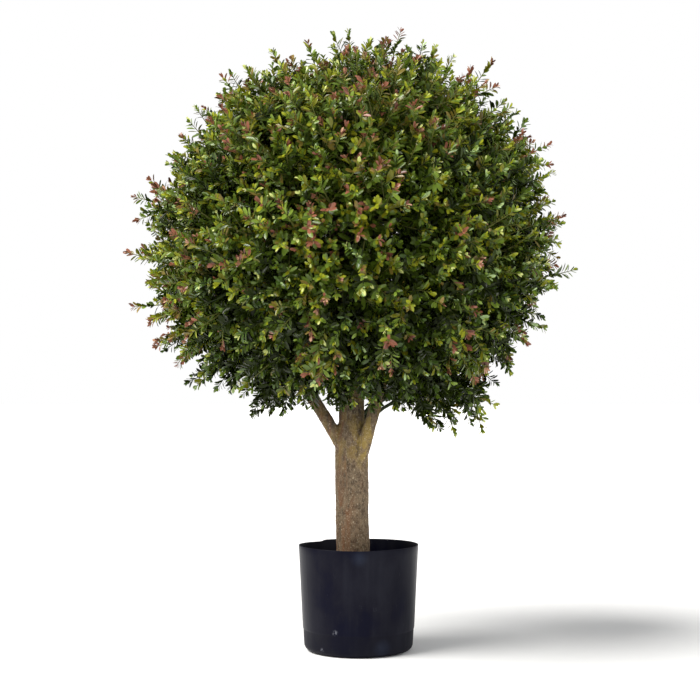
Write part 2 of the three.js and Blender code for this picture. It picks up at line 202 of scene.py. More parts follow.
class Finish:
    """A procedural material that is built up node by node on the piece's own place."""

    def __init__(self, name, **sockets):
        self.material = bpy.data.materials.new(name)
        self.material.use_nodes = True
        self.tree = self.material.node_tree
        self.shader = self.tree.nodes["Principled BSDF"]
        for socket, value in sockets.items():
            self.shader.inputs[socket.replace("_", " ")].default_value = value
        self.place = self.add("ShaderNodeTexCoord").outputs["Object"]

    def add(self, kind, **values):
        node = self.tree.nodes.new(kind)
        for name, value in values.items():
            setattr(node, name, value)
        return node

    def feed(self, socket, source):
        if isinstance(source, bpy.types.NodeSocket):
            self.tree.links.new(source, socket)
        else:
            socket.default_value = source

    def scaled(self, stretch, shift=(0, 0, 0)):
        node = self.add("ShaderNodeMapping")
        node.inputs["Scale"].default_value = stretch
        node.inputs["Location"].default_value = shift
        self.feed(node.inputs["Vector"], self.place)
        return node.outputs["Vector"]

    def noise(self, stretch, detail=3.0, roughness=0.55, distortion=0.0, shift=(0, 0, 0)):
        node = self.add("ShaderNodeTexNoise")
        node.inputs["Scale"].default_value = 1
        node.inputs["Detail"].default_value = detail
        node.inputs["Roughness"].default_value = roughness
        node.inputs["Distortion"].default_value = distortion
        self.feed(node.inputs["Vector"], self.scaled(stretch, shift))
        return node.outputs["Fac"]

    def cells(self, stretch):
        node = self.add("ShaderNodeTexVoronoi")
        node.inputs["Scale"].default_value = 1
        self.feed(node.inputs["Vector"], self.scaled(stretch))
        return node.outputs["Distance"]

    def band(self, source, start, end, to_start=0.0, to_end=1.0):
        node = self.add("ShaderNodeMapRange", interpolation_type="SMOOTHSTEP")
        self.feed(node.inputs["Value"], source)
        for name, value in zip(
            ("From Min", "From Max", "To Min", "To Max"), (start, end, to_start, to_end)
        ):
            node.inputs[name].default_value = value
        return node.outputs["Result"]

    def maths(self, operation, first, second):
        node = self.add("ShaderNodeMath", operation=operation)
        self.feed(node.inputs[0], first)
        self.feed(node.inputs[1], second)
        return node.outputs[0]

    def times(self, first, second):
        return self.maths("MULTIPLY", first, second)

    def plus(self, first, second):
        return self.maths("ADD", first, second)

    def paint(self, colour, coat, share, strength=None):
        """Lays a coat over a colour, as thick as a share from 0 to 1, thinned by a strength."""
        node = self.add("ShaderNodeMix", data_type="RGBA")
        self.feed(node.inputs["Factor"], self.times(share, strength) if strength else share)
        for place, source in ((MIX_FIRST, colour), (MIX_SECOND, coat)):
            is_plain = not isinstance(source, bpy.types.NodeSocket)
            self.feed(node.inputs[place], opaque(source) if is_plain else source)
        return node.outputs[MIX_RESULT]

    def axis(self, name):
        node = self.add("ShaderNodeSeparateXYZ")
        self.feed(node.inputs[0], self.place)
        return node.outputs[name]

    def distance(self, point):
        """How far the surface is from a point given in mm."""
        node = self.add("ShaderNodeVectorMath", operation="DISTANCE")
        self.feed(node.inputs[0], self.place)
        node.inputs[1].default_value = [value * MM for value in point]
        return node.outputs["Value"]

    def use(self, socket, source):
        self.feed(self.shader.inputs[socket], source)

    def bump(self, height, depth):
        node = self.add("ShaderNodeBump")
        node.inputs["Strength"].default_value = 1
        node.inputs["Distance"].default_value = depth
        self.feed(node.inputs["Height"], height)
        if self.shader.inputs["Normal"].is_linked:
            self.feed(node.inputs["Normal"], self.shader.inputs["Normal"].links[0].from_socket)
        self.feed(self.shader.inputs["Normal"], node.outputs["Normal"])


# ---- Pot and cement ----

POT_STEPS, CEMENT_STEPS = 120, 110  # faces round the pot and the cement
POT_CREASE, CEMENT_CREASE = math.radians(38), math.radians(50)  # edges sharper than this show
FOOT_ARC_STEPS, RIM_ARC_STEPS, WALL_RINGS = 6, 4, 9
# The step above the lower band: how far it starts below the band's top and stands in from the
# taper, and where the plain wall starts above it and ends below the rim.
BAND_UNDER, BAND_LIP, WALL_START, WALL_END = 0.0006, 0.0002, 0.003, 0.012
INNER_HEIGHTS, INNER_STEP = (0.12, 0.08), 0.002  # rings down the inside, and its own step
# The rim's sag, in degrees round the pot: where it starts, is deepest, and how far on it fades.
SAG_START, SAG_DEEPEST, SAG_FADE = 124, 131, 49
SAG_FROM, RISE_FROM = 0.6, 0.5  # shares of the height above the band where these begin
RISE_SIDES, RISE_RIGHT, RISE_FRONT = 1.06, 0.23, 0.65  # how the rim rises, in mm
WALL_WAVE, WALL_PULL = 0.004, 0.003  # how far the wall is out of true and drawn in, as shares
SPIN_WELD = 1e-6

# Places in mm, sizes in mm and strengths of the rubbed marks on the plastic, and of the bluish
# highlights painted onto it.
RUBBED_SPOTS = (((-32.5, -72, 33), 6.0, 1.0), ((-50, -57, 8), 4.5, 1.0),
                ((-45, -61, 3), 3.5, 0.9), ((22, -78, 66), 5, 0.3))
HIGHLIGHT_SPOTS = (((33, -70, 12), 17, 0.55), ((0, -82, 134), 15, 0.34))
NAVY, HIGHLIGHT_BLUE, RUBBED = rgb(6, 7, 25), rgb(52, 60, 78), rgb(132, 134, 144)
BAND_SHADE = rgb(16, 16, 24)

FILL_CLEARANCE = 3.1 * MM  # from the pot's outer taper to the cement
FILL_RINGS = (0.06, 0.09)
# The cement's rounded edge: where it starts below the top, and its own drop and inset.
FILL_EDGE_START, FILL_EDGE_DROP, FILL_EDGE_INSET = 0.004, 0.0008, 0.0015
FILL_TOP_INSET, FILL_TOP_MIDDLE, FILL_TOP_RINGS = 0.005, 0.004, 26
FILL_TOP_DEPTH = 0.0005  # what lies no deeper belongs to the rough top
CEMENT_SWELL, CEMENT_LUMP = 0.0016, 0.0008
CEMENT_STAIN, CEMENT_SAND, CEMENT_HOLE = rgb(112, 106, 97), rgb(172, 168, 158), rgb(66, 62, 56)


def settle_faces(bm):
    """Puts the faces and their corners in a fixed order, because a spin leaves them in any."""
    bm.verts.index_update()
    faces = []
    for face in bm.faces:
        corners = [vert.index for vert in face.verts]
        first = corners.index(min(corners))
        faces.append(corners[first:] + corners[:first])
    bmesh.ops.delete(bm, geom=bm.faces[:], context="FACES_ONLY")
    verts = list(bm.verts)
    for corners in sorted(faces):
        bm.faces.new([verts[k] for k in corners])


def spun(outline, steps):
    """A closed outline of radius and height, spun round the plant's upright axis."""
    bm = bmesh.new()
    verts = [bm.verts.new((radius, 0, height)) for radius, height in outline]
    edges = [bm.edges.new(pair) for pair in zip(verts, verts[1:])]
    bmesh.ops.spin(
        bm, geom=verts + edges, cent=(0, 0, 0), axis=UP, dvec=(0, 0, 0), angle=2 * math.pi,
        steps=steps, use_merge=True, use_normal_flip=False, use_duplicate=False,
    )
    bmesh.ops.remove_doubles(bm, verts=bm.verts, dist=SPIN_WELD)
    bmesh.ops.recalc_face_normals(bm, faces=bm.faces)
    settle_faces(bm)
    return bm


def arc(middle, radius, start, end, steps):
    """Points of radius and height along an arc, from one angle to another in degrees."""
    turns = [math.radians(start + (end - start) * k / steps) for k in range(steps + 1)]
    return [(middle[0] + radius * math.cos(t), middle[1] + radius * math.sin(t)) for t in turns]


def smoothstep(value, low, high):
    share = min(1.0, max(0.0, (value - low) / (high - low)))
    return share * share * (3 - 2 * share)


def noise_at(point, stretch, shift=(0, 0, 0)):
    """Smooth noise at a point, stretched and shifted along each axis."""
    return noise.noise(Vector([place * size + move
                               for place, size, move in zip(point, stretch, shift)]))


def taper_radius(pot, height):
    """The outer radius of the pot's plain taper at a height."""
    return pot.foot_radius + (pot.rim_radius - pot.foot_radius) * height / pot.height


def pot_outline(pot):
    """From the middle of the underside, up the outside, over the rim and down inside."""
    band, step, wall = pot.band_height, pot.band_step, pot.wall
    band_radius = taper_radius(pot, band)
    foot = pot.foot_round
    flat = taper_radius(pot, foot) - step - foot
    rim = wall / 2
    outline = [(0, 0), (flat / 2, 0), *arc((flat, foot), foot, -90, 0, FOOT_ARC_STEPS),
               (band_radius - step, band - BAND_UNDER), (band_radius - BAND_LIP, band + step)]
    outline += [(taper_radius(pot, height), height) for height in
                np.linspace(band + WALL_START, pot.height - WALL_END, WALL_RINGS)]
    outline += arc((pot.rim_radius - rim, pot.height - rim), rim, 0, 180, RIM_ARC_STEPS)
    outline += [(taper_radius(pot, height) - wall, height)
                for height in (*INNER_HEIGHTS, band + INNER_STEP)]
    return outline + [(band_radius - step - wall, band - INNER_STEP), (flat + wall, pot.floor),
                      (flat / 2, pot.floor), (0, pot.floor)]


def soften_pot(bm, pot):
    """The thin wall is a little out of true, and its rim sags at the back left."""
    for vert in bm.verts:
        lift = max(0.0, (vert.co.z - pot.band_height) / (pot.height - pot.band_height))
        turn = math.degrees(math.atan2(vert.co.y, vert.co.x)) % 360
        fade = min(1.0, max(0.0, 1 - (turn - SAG_DEEPEST) / SAG_FADE))
        sag = smoothstep(turn, SAG_START, SAG_DEEPEST) * fade
        vert.co.z -= pot.rim_dip * sag * max(0.0, lift - SAG_FROM) / (1 - SAG_FROM)
        rightward, backward = math.cos(math.radians(turn)), math.sin(math.radians(turn))
        rise = RISE_SIDES * abs(rightward) + RISE_RIGHT * rightward - RISE_FRONT * backward
        vert.co.z += rise * MM * max(0.0, lift - RISE_FROM) / (1 - RISE_FROM)
        wave = noise_at(vert.co, (22, 22, 9), (0, 0, 4))
        squeeze = 1 + (WALL_WAVE * wave - WALL_PULL) * lift
        vert.co.x *= squeeze
        vert.co.y *= squeeze


def plastic_finish(pot):
    """Blue-black moulded plastic with soft draw marks, navy clouds, a few rubbed spots and painted
    bluish highlights.
    """
    finish = Finish("nursery_pot_plastic", Specular_IOR_Level=0.065)
    draw = finish.noise((70, 70, 4), detail=4)
    cloud = finish.noise((24, 24, 14), detail=5, shift=(3, 1, 2))
    scratch = finish.noise((900, 900, 26), detail=2, roughness=0.4, shift=(7, 0, 0))
    stray = finish.noise((30, 30, 160), detail=3, shift=(0, 5, 1))
    rubbed = finish.times(finish.band(scratch, 0.68, 0.78),
                          finish.band(stray, 0.56, 0.72, 0, 0.22))
    for point, size, share in RUBBED_SPOTS:
        near = finish.band(finish.distance(point), 0.15 * size * MM, size * MM, share, 0)
        grain = finish.noise((420, 420, 300), detail=4, shift=point)
        rubbed = finish.plus(rubbed, finish.times(near, finish.band(grain, 0.44, 0.62)))
    rubbed = finish.maths("MINIMUM", rubbed, 1.0)
    dust = finish.plus(finish.times(finish.band(cloud, 0.42, 0.72), 0.12),
                       finish.times(finish.band(draw, 0.45, 0.75), 0.08))
    colour = finish.paint(pot.plastic, NAVY, finish.band(cloud, 0.52, 0.34))
    colour = finish.paint(colour, pot.scuff, dust)
    # Painted highlights: soft bluish patches where the plastic catches the light.
    for point, size, share in HIGHLIGHT_SPOTS:
        painted_highlight = finish.times(finish.band(finish.distance(point), 0, size * MM, share, 0),
                             finish.band(cloud, 0.3, 0.6, 0.4, 1))
        colour = finish.paint(colour, HIGHLIGHT_BLUE, painted_highlight)
    colour = finish.paint(colour, RUBBED, rubbed, 0.75)
    low = finish.band(finish.axis("Z"), pot.band_height, pot.band_height + pot.band_step, 1, 0)
    finish.use("Base Color", finish.paint(colour, BAND_SHADE, low, 0.35))
    satin = finish.plus(finish.times(draw, 0.16), 0.27)
    satin = finish.plus(satin, finish.times(low, 0.16))
    finish.use("Roughness", finish.plus(satin, finish.times(rubbed, 0.2)))
    finish.bump(draw, 0.0004)
    finish.bump(finish.noise((1500, 1500, 1500), detail=2), 0.00003)
    return finish.material


def cement_finish(pot):
    """Rough cast cement, stained, with sand and small air holes."""
    finish = Finish("cast_cement", Roughness=0.93)
    sand = finish.noise((900, 900, 900), detail=4)
    stain = finish.noise((42, 42, 42), detail=5, distortion=0.6)
    holes = finish.band(finish.cells((240, 240, 240)), 0.10, 0.24, 1, 0)
    colour = finish.paint(pot.cement, CEMENT_STAIN, finish.band(stain, 0.35, 0.68))
    colour = finish.paint(colour, CEMENT_SAND, finish.band(sand, 0.4, 0.7), 0.5)
    finish.use("Base Color", finish.paint(colour, CEMENT_HOLE, holes, 0.7))
    finish.bump(sand, 0.0005)
    finish.bump(finish.maths("SUBTRACT", 1.0, holes), 0.0007)
    return finish.material


def cement_outline(pot):
    """The cement fills the pot to its level, just clear of the wall."""
    def fill_radius(height):
        return taper_radius(pot, height) - FILL_CLEARANCE

    top = FILL_HIGH.z
    outline = [(0, FILL_LOW.z), (fill_radius(0) - pot.foot_round, FILL_LOW.z)]
    outline += [(fill_radius(height), height)
                for height in (pot.band_height, *FILL_RINGS, top - FILL_EDGE_START)]
    outline.append((fill_radius(top) - FILL_EDGE_INSET, top - FILL_EDGE_DROP))
    outline += [(radius, top) for radius in
                np.linspace(fill_radius(top) - FILL_TOP_INSET, FILL_TOP_MIDDLE, FILL_TOP_RINGS)]
    return outline + [(0, top)]


def roughen_cement(bm):
    """The hand-levelled top has a slow swell and lumps."""
    for vert in bm.verts:
        if vert.co.z < FILL_HIGH.z - FILL_TOP_DEPTH:
            continue
        swell = noise_at(vert.co, (30, 30, 0), (0, 0, 3))
        lump = noise_at(vert.co, (140, 140, 0), (0, 0, 7))
        vert.co.z += CEMENT_SWELL * swell + CEMENT_LUMP * lump - CEMENT_SWELL


class TOPIARY_OT_pot(bpy.types.Operator):
    """Make the nursery pot: a thin tapered wall with a narrower band at its foot"""

    bl_idname = "topiary.pot"
    bl_label = "Nursery Pot"

    def execute(self, context):
        pot = context.scene.topiary_pot
        bm = spun(pot_outline(pot), POT_STEPS)
        soften_pot(bm, pot)
        mesh = mesh_from(bm, "nursery_pot", POT_CREASE)
        finish_piece(mesh, [plastic_finish(pot)], "pot_plastic", "pot")
        return {"FINISHED"}


class TOPIARY_OT_cement(bpy.types.Operator):
    """Make the cement that fills the pot and holds the trunk"""

    bl_idname = "topiary.cement"
    bl_label = "Cement"

    def execute(self, context):
        pot = context.scene.topiary_pot
        bm = spun(cement_outline(pot), CEMENT_STEPS)
        roughen_cement(bm)
        mesh = mesh_from(bm, "cement", CEMENT_CREASE)
        finish_piece(mesh, [cement_finish(pot)], "cement", "pot_fill")
        return {"FINISHED"}


# ---- Trunk and boughs ----

TRUNK_X = -8.6 * MM
TRUNK_TOP = 598 * MM
TRUNK_SWAY = 1.4 * MM
TRUNK_BENDS = 4
TRUNK_BEND_TURN = 2.1
TRUNK_OFFCUT = 10 * MM  # how far the trunk's line starts below its foot
TRUNK_RADIUS, FOOT_FLARE, LEADER_RADIUS, LEADER_TIP_RADIUS = 22.6, 0.3, 18.4, 12  # in mm
FLARE_HEIGHT = 60 * MM
FORK_HEIGHT, FORK_BLEND = 277 * MM, 45 * MM
# Root, tip and bow of each bough, in mm.
BOUGHS = {
    "bough_left": ((-8, -2, 252), (-90, -6, 386), (5, -2, 0)),
    "bough_right": ((-3, -9, 246), (37, -30, 386), (1, -7, 0)),
}
BOUGH_ROOT_RADIUS = 10.5 * MM
BOUGH_TIP_RADIUS = 7.6 * MM
TRUNK_RINGS, BOUGH_RINGS, LIMB_SIDES = 60, 40, 40
FOOT_EDGE = 0.001  # the bark this near to the trunk's foot keeps its level
# How the bark's relief is made up, as shares of the heights in the settings.
RIDGE_TOP, RIDGE_FALL, CROSS_RIDGES, RIDGE_WARP = 0.4, 1.6, 0.35, 0.6
# Colour of the painted shadow that the ball casts on the wood just below it.
BALL_SHADOW = rgb(44, 38, 27)
FORK_COLOUR_FROM, FORK_COLOUR_TO = 0.238, 0.272  # heights
# Heights over which that painted shadow of the ball darkens in.
BALL_SHADOW_FROM, BALL_SHADOW_TO = 0.284, 0.330


def trunk_radius(height):
    """The trunk's radius: a slight flare at its foot, and thinner above the fork."""
    flare = max(0.0, 1 - (height - TRUNK_LOW.z) / FLARE_HEIGHT)
    shaft = (TRUNK_RADIUS + FOOT_FLARE * flare * flare) * MM
    if height < FORK_HEIGHT:
        return shaft
    taper = LEADER_TIP_RADIUS - LEADER_RADIUS
    upper = (LEADER_RADIUS + taper * (height - FORK_HEIGHT) / (TRUNK_TOP - FORK_HEIGHT)) * MM
    return shaft + (upper - shaft) * smoothstep(height, FORK_HEIGHT, FORK_HEIGHT + FORK_BLEND)


def trunk_point(height):
    """The middle of the trunk, which sways a little as it rises."""
    rise, length = (level - TRUNK_LOW.z + TRUNK_OFFCUT for level in (height, TRUNK_TOP))
    bend = TRUNK_BENDS * rise / length
    low = min(TRUNK_BENDS - 1, max(0, int(bend)))
    share = smoothstep(bend - low, 0, 1)
    sway = [Vector((math.cos(k * TRUNK_BEND_TURN), math.sin(k * TRUNK_BEND_TURN), 0))
            for k in (low, low + 1)]
    return Vector((TRUNK_X, 0, height)) + TRUNK_SWAY * sway[0].lerp(sway[1], share)


def bough_point(name, share):
    """A point on a bough's bowed middle line, from inside the trunk to its tip."""
    root, tip, bow = (Vector(point) * MM for point in BOUGHS[name])
    middle = root.lerp(tip, 0.5) + bow
    return root * (1 - share) ** 2 + middle * 2 * share * (1 - share) + tip * share ** 2


def bough_radius(share):
    return BOUGH_ROOT_RADIUS + (BOUGH_TIP_RADIUS - BOUGH_ROOT_RADIUS) * math.sqrt(share)


def limb_lines():
    """Each limb as its points and radii from foot to tip."""
    heights = np.linspace(TRUNK_LOW.z, TRUNK_TOP, TRUNK_RINGS)
    lines = [[(trunk_point(height), trunk_radius(height)) for height in heights]]
    for name in BOUGHS:
        lines.append([(bough_point(name, share), bough_radius(share))
                      for share in np.linspace(0, 1, BOUGH_RINGS)])
    return lines


def add_limb(bm, line):
    """A closed limb: a ring extruded from point to point, square to its way."""
    frames = []
    for k, (point, radius) in enumerate(line):
        way = line[min(k + 1, len(line) - 1)][0] - line[max(k - 1, 0)][0]
        turn = UP.rotation_difference(way).to_matrix().to_4x4()
        frames.append(Matrix.Translation(point) @ turn @ Matrix.Scale(radius, 4))
    ring = bmesh.ops.create_circle(
        bm, cap_ends=True, radius=1, segments=LIMB_SIDES, matrix=frames[0]
    )
    edges = list(dict.fromkeys(edge for vert in ring["verts"] for edge in vert.link_edges))
    for last, following in zip(frames, frames[1:]):
        grown = bmesh.ops.extrude_edge_only(bm, edges=edges)["geom"]
        verts = [item for item in grown if isinstance(item, bmesh.types.BMVert)]
        edges = [item for item in grown if isinstance(item, bmesh.types.BMEdge)]
        edges = [edge for edge in edges if all(vert in verts for vert in edge.verts)]
        bmesh.ops.transform(bm, matrix=following @ last.inverted(), verts=verts)
    bmesh.ops.edgeloop_fill(bm, edges=edges)


def fused(bm, voxel):
    """Limbs fused to one skin of even faces."""
    mesh = bpy.data.meshes.new("limbs")
    bm.to_mesh(mesh)
    bm.free()
    draft = bpy.data.objects.new("limbs", mesh)
    bpy.context.scene.collection.objects.link(draft)
    remesh = draft.modifiers.new("fuse", "REMESH")
    remesh.mode = "VOXEL"
    remesh.voxel_size = voxel
    shaped = draft.evaluated_get(bpy.context.evaluated_depsgraph_get())
    skin = bmesh.new()
    skin.from_mesh(shaped.to_mesh())
    shaped.to_mesh_clear()
    bpy.data.objects.remove(draft)
    bpy.data.meshes.remove(mesh)
    return skin


def bark_height(point, wood):
    """The bark's relief: slow swellings, long ridges, short ones across and fine grain."""
    lump = noise_at(point, (34, 34, 22))
    warp = RIDGE_WARP * noise_at(point, (60, 60, 60))
    ridge = noise_at(point, (190, 190, 34), (warp, 0, 0))
    cross = noise_at(point, (90, 90, 260), (0, 0, 9))
    pore = noise_at(point, (620, 620, 620))
    return (wood.lump * lump + wood.ridge * (RIDGE_TOP - abs(ridge) * RIDGE_FALL)
            + CROSS_RIDGES * wood.ridge * cross + wood.pore * pore)


def bark_finish(wood):
    """Grey-brown bark, warmer down one side and darkened there by painted shade, with dark streaks,
    pale specks and an olive fork, and a painted shadow of the ball where it goes up into the ball."""
    finish = Finish("bark", Roughness=0.88, Specular_IOR_Level=0.25)
    mottle = finish.noise((240, 240, 150), detail=7, roughness=0.72)
    streak = finish.noise((300, 300, 22), detail=5, distortion=0.3, shift=(2, 3, 0))
    patch = finish.noise((130, 130, 16), detail=5, distortion=0.4, shift=(0.8, 4.1, 2.3))
    fleck = finish.noise((640, 640, 480), detail=3, roughness=0.7)
    cloud = finish.noise((90, 90, 50), detail=5)
    crumb = finish.cells((230, 230, 200))
    across, height = finish.axis("X"), finish.axis("Z")
    # The left side carries the rust patches, and also a painted shade.
    rusty_shaded_side = finish.band(across, TRUNK_X - 0.009, TRUNK_X + 0.006, 1, 0.2)
    right_side = finish.band(across, TRUNK_X - 0.004, TRUNK_X + 0.010, 0.45, 1)
    colour = finish.paint(wood.shade, wood.bark, finish.band(mottle, 0.36, 0.60))
    colour = finish.paint(colour, wood.shade, finish.band(streak, 0.55, 0.68), 0.55)
    # Painted shade down the left side, where the key light falls.
    colour = finish.paint(colour, wood.shade, rusty_shaded_side, 0.24)
    rust = finish.times(finish.band(patch, 0.44, 0.64), rusty_shaded_side)
    colour = finish.paint(colour, wood.rust, rust, 0.7)
    fork = finish.times(finish.band(height, FORK_COLOUR_FROM, FORK_COLOUR_TO),
                        finish.band(cloud, 0.42, 0.58))
    colour = finish.paint(colour, wood.olive, finish.times(fork, right_side), 0.8)
    crumbs = finish.times(finish.band(crumb, 0.10, 0.24, 1, 0), finish.band(mottle, 0.44, 0.56))
    colour = finish.paint(colour, wood.lichen, crumbs, 0.85)
    colour = finish.paint(colour, wood.lichen, finish.band(fleck, 0.54, 0.70), 0.5)
    colour = finish.paint(colour, wood.shade, finish.band(fleck, 0.46, 0.3), 0.38)
    # Painted shadow of the ball on the upper boughs, darker in the hollows of the mottle.
    ball_shadow = finish.times(finish.band(height, BALL_SHADOW_FROM, BALL_SHADOW_TO), 0.66)
    ball_shadow = finish.times(ball_shadow, finish.band(mottle, 0.70, 0.40, 0.75, 1.0))
    finish.use("Base Color", finish.paint(colour, BALL_SHADOW, ball_shadow))
    finish.bump(fleck, 0.0012)
    finish.bump(mottle, 0.0014)
    return finish.material


class TOPIARY_OT_wood(bpy.types.Operator):
    """Make the timber trunk and its two boughs as one skin of bark"""

    bl_idname = "topiary.wood"
    bl_label = "Trunk and Boughs"

    def execute(self, context):
        wood = context.scene.topiary_wood
        bm = bmesh.new()
        for line in limb_lines():
            add_limb(bm, line)
        bmesh.ops.recalc_face_normals(bm, faces=bm.faces)
        skin = fused(bm, wood.voxel)
        skin.normal_update()
        for vert in skin.verts:
            shift = vert.normal * bark_height(vert.co, wood)
            if vert.co.z < TRUNK_LOW.z + FOOT_EDGE:
                shift.z = 0
            vert.co += shift
        mesh = mesh_from(skin, "trunk_and_boughs")
        finish_piece(mesh, [bark_finish(wood)], "bark", "trunk", "bough_left", "bough_right")
        return {"FINISHED"}


# ---- How the ball grows ----

CROWN_CENTRE = np.array((-7.6, 0, 573)) * MM
REACH_SIDE, REACH_UP, REACH_DOWN = 284 * MM, 268 * MM, 238 * MM
POWER_UP, POWER_DOWN = 2.1, 2.9
# Where the ball is full or flat: angle seen from the front, share of its reach, width in degrees.
SWELLS = ((44, 0.04, 8), (60, -0.095, 15), (106, -0.135, 23), (144, -0.12, 13),
          (176, 0.045, 14), (198, 0.02, 28), (243, 0.05, 8), (298, 0.07, 10),
          (322, 0.03, 8), (350, 0.045, 16))
CARRIER_SHARE = 0.8 * 0.93  # how far out the carriers of the sprays reach
CARRIER_COUNT = 122
CARRIER_SEED = 20
CARRIER_SCATTER = 0.08
CARRIER_DRAWS = 4  # chance numbers that the solids draw for each carrier's reach and lean
MASSES = {
    "foliage_top": ((0, 0, 150), "trunk"),
    "foliage_left": ((-150, 10, -42), "bough_left"),
    "foliage_right": ((150, -10, -42), "bough_right"),
    "foliage_front": ((-6, -150, -38), "trunk"),
    "foliage_back": ((6, 150, -38), "trunk"),
}
SIDE_STEM_DROP = 70 * MM
# Sprays that stand out from the ball: angle seen from the front, and reach in mm.
STRAYS = ((350, 309), (24, 296), (51, 301), (77, 285), (91, 277), (127, 279), (171, 306),
          (185, 310), (199, 318), (210, 314), (222, 307), (242, 289), (292, 290), (297, 310),
          (303, 326))
# Sprays that hang below the clipped ball: the same, and how far behind its middle, in mm.
HANGING = ((286, 252, 20), (289, 266, -30), (291, 284, -45), (294, 298, 35), (297, 292, -70),
           (299, 296, 45), (301, 306, -30), (304, 310, 25), (302, 290, -60), (293, 268, 40),
           (318, 274, -10), (296, 276, 80), (241, 284, -30), (245, 275, 20), (239, 278, 50),
           (249, 266, -55), (225, 300, -20), (210, 306, -35), (257, 243, -70),
           (265, 240, -90), (276, 243, -85), (283, 246, -60))
# Green stems that leave the trunk under the ball and carry the lowest sprays: start, bend and end.
LOW_STEMS = {
    "foliage_right": (((6, 6, 314), (56, 2, 380), (140, -12, 352)),
                      ((7, 9, 305), (60, 10, 368), (132, 12, 336)),
                      ((7, 3, 322), (46, -4, 382), (112, -34, 350))),
}
GOLDEN_TURN = math.pi * (3 - math.sqrt(5))
SPACE_LAP = 7 * MM  # neighbouring masses interlock this far

# How unevenly the sprays are spread and headed; and how far each reaches, as a share more or less
# than the ball, by its tuft and by chance (the least, the usual and the most).
WAY_SCATTER, HEADING_SCATTER, HEADING_LIFT = 0.035, 0.28, 0.25
TUFT_RISE, REACH_SPREAD = 0.05, (-0.21, -0.036, 0.038)

KIND_SHADED, KIND_DEEP, KIND_GREEN, KIND_LIME, KIND_FLUSHED = range(5)
# How light a spray's place is, painted into its leaves' tints as light and shade: its height, how
# far it is under the ball and to the left, the drift it stands in, and its nearness to the upper
# left and the lower right.
LIGHT_HEIGHT, LIGHT_UNDER, LIGHT_LEFT, LIGHT_DRIFT = 0.30, 1.1, 0.12, 0.32
LIGHT_UPPER_LEFT, LIGHT_LOWER_RIGHT = 0.7, 0.5
LIGHT_SHARE = 0.55  # how much that counts
YOUNG_GROWTH = 1.8  # how much more often a spray that reaches further out is a fresh one
LIME_BELOW, GREEN_BELOW = 0.64, 0.86  # chances that make a spray lime or green
SHADED_UNDER = -0.32  # darker sprays below this height get the shaded kind, a painted shade under the ball
RED_GROWTH = 5.2  # how much more often a spray that reaches further out is flushed with red
RED_SHARE, RED_LEFT, FAR_LEFT = 0.06, 0.25, 0.6  # more are red far to the left
RED_LOWEST = -0.72  # and none below this height
RED_STRAYS = (24, 51, 77, 171, 185, 199, 210)
HANGING_SHADE, HANGING_REDS = 0.45, 4  # hanging sprays get darker kinds as painted shade; one in so many may be red

TINT_WOOD, TINT_DARK_STEM, TINT_GREEN_STEM = range(3)
# Radius at the root and at the tip, rings along and sides round.
MASS_STEM = (8 * MM, 5 * MM, 8, 10)
CARRIER = (3.2 * MM, 1.9 * MM, 5, 6)
LOW_STEM = (2.6 * MM, 1.9 * MM, 9, 8)
SPRAY_STEM = (1.9 * MM, 1.2 * MM, 6, 5)
SPRIG = (1.05 * MM, 0.5 * MM, 3, 3)
CARRIER_GAP, SPRIG_TIP_GAP, SPRIG_MIDDLE_GAP = 4 * MM, 5 * MM, 4 * MM  # clear of the limbs
CARRIER_BOW, SPRIG_JITTER = 6, 2  # in mm
SPRAY_FORKS, SPRAY_BOW = (0.35, 0.9), 0.45  # where sprays leave a carrier, and their bow
TIP_SPRIG_LENGTHS, SIDE_SPRIG_LENGTHS, SHORTEST_SPRIG = (0.8, 1.0), (0.75, 1.15), 0.38
FIRST_SPRIG, LAST_SPRIG = 1.1, 0.93  # in steps from the tip, and as a share of the stem
SPRIG_LEANS = (38, 60)  # degrees from the stem
SPRIG_LIMITS = (-0.05, 0.012)  # how far a sprig may differ from its spray's reach
OWN_WAY, STEM_WAY, SPRIG_DROOP = 0.55, 0.45, 0.10  # a sprig's tip turns to its stem's way
TRIM_ROUNDS, TRIM = 9, 0.9  # sprigs that reach too far are shortened in rounds


def chances(seed):
    """The same run of chance numbers that places the carriers in the solids."""
    whole = 0xFFFFFFFF
    state = seed
    while True:
        state = (state + 0x6D2B79F5) & whole
        mixed = ((state ^ (state >> 15)) * (1 | state)) & whole
        mixed = ((mixed + (((mixed ^ (mixed >> 7)) * (61 | mixed)) & whole)) & whole) ^ mixed
        yield ((mixed ^ (mixed >> 14)) & whole) / (whole + 1)


def unit(vectors):
    return vectors / np.linalg.norm(vectors, axis=-1, keepdims=True)


def front_ways(angles):
    """Directions in the plane that faces the front, from their angles up from +X."""
    angles = np.radians(angles)
    return np.stack((np.cos(angles), 0 * angles, np.sin(angles)), -1)


def crown_reach(ways):
    """How far the clipped ball reaches from its centre, for unit directions."""
    swell = np.ones(ways.shape[:-1])
    for angle, rise, width in SWELLS:
        off = np.degrees(np.arccos(np.clip(ways @ front_ways(angle), -1, 1)))
        swell += rise * np.exp(-((off / width) ** 2))
    upper = ways[..., 2] > 0
    tall = np.where(upper, REACH_UP, REACH_DOWN)
    power = np.where(upper, POWER_UP, POWER_DOWN)
    level = np.hypot(ways[..., 0], ways[..., 1]) / REACH_SIDE
    height = np.abs(ways[..., 2]) / tall
    return swell * (level ** power + height ** power) ** (-1 / power)


def spread_ways(count):
    """Directions spread evenly over the ball by the golden angle."""
    k = np.arange(count)
    height = 1 - (2 * (k + 0.5)) / count
    level = np.sqrt(1 - height * height)
    return np.stack((level * np.cos(k * GOLDEN_TURN), level * np.sin(k * GOLDEN_TURN), height), 1)


def stray_ways():
    return front_ways([angle for angle, _ in STRAYS])


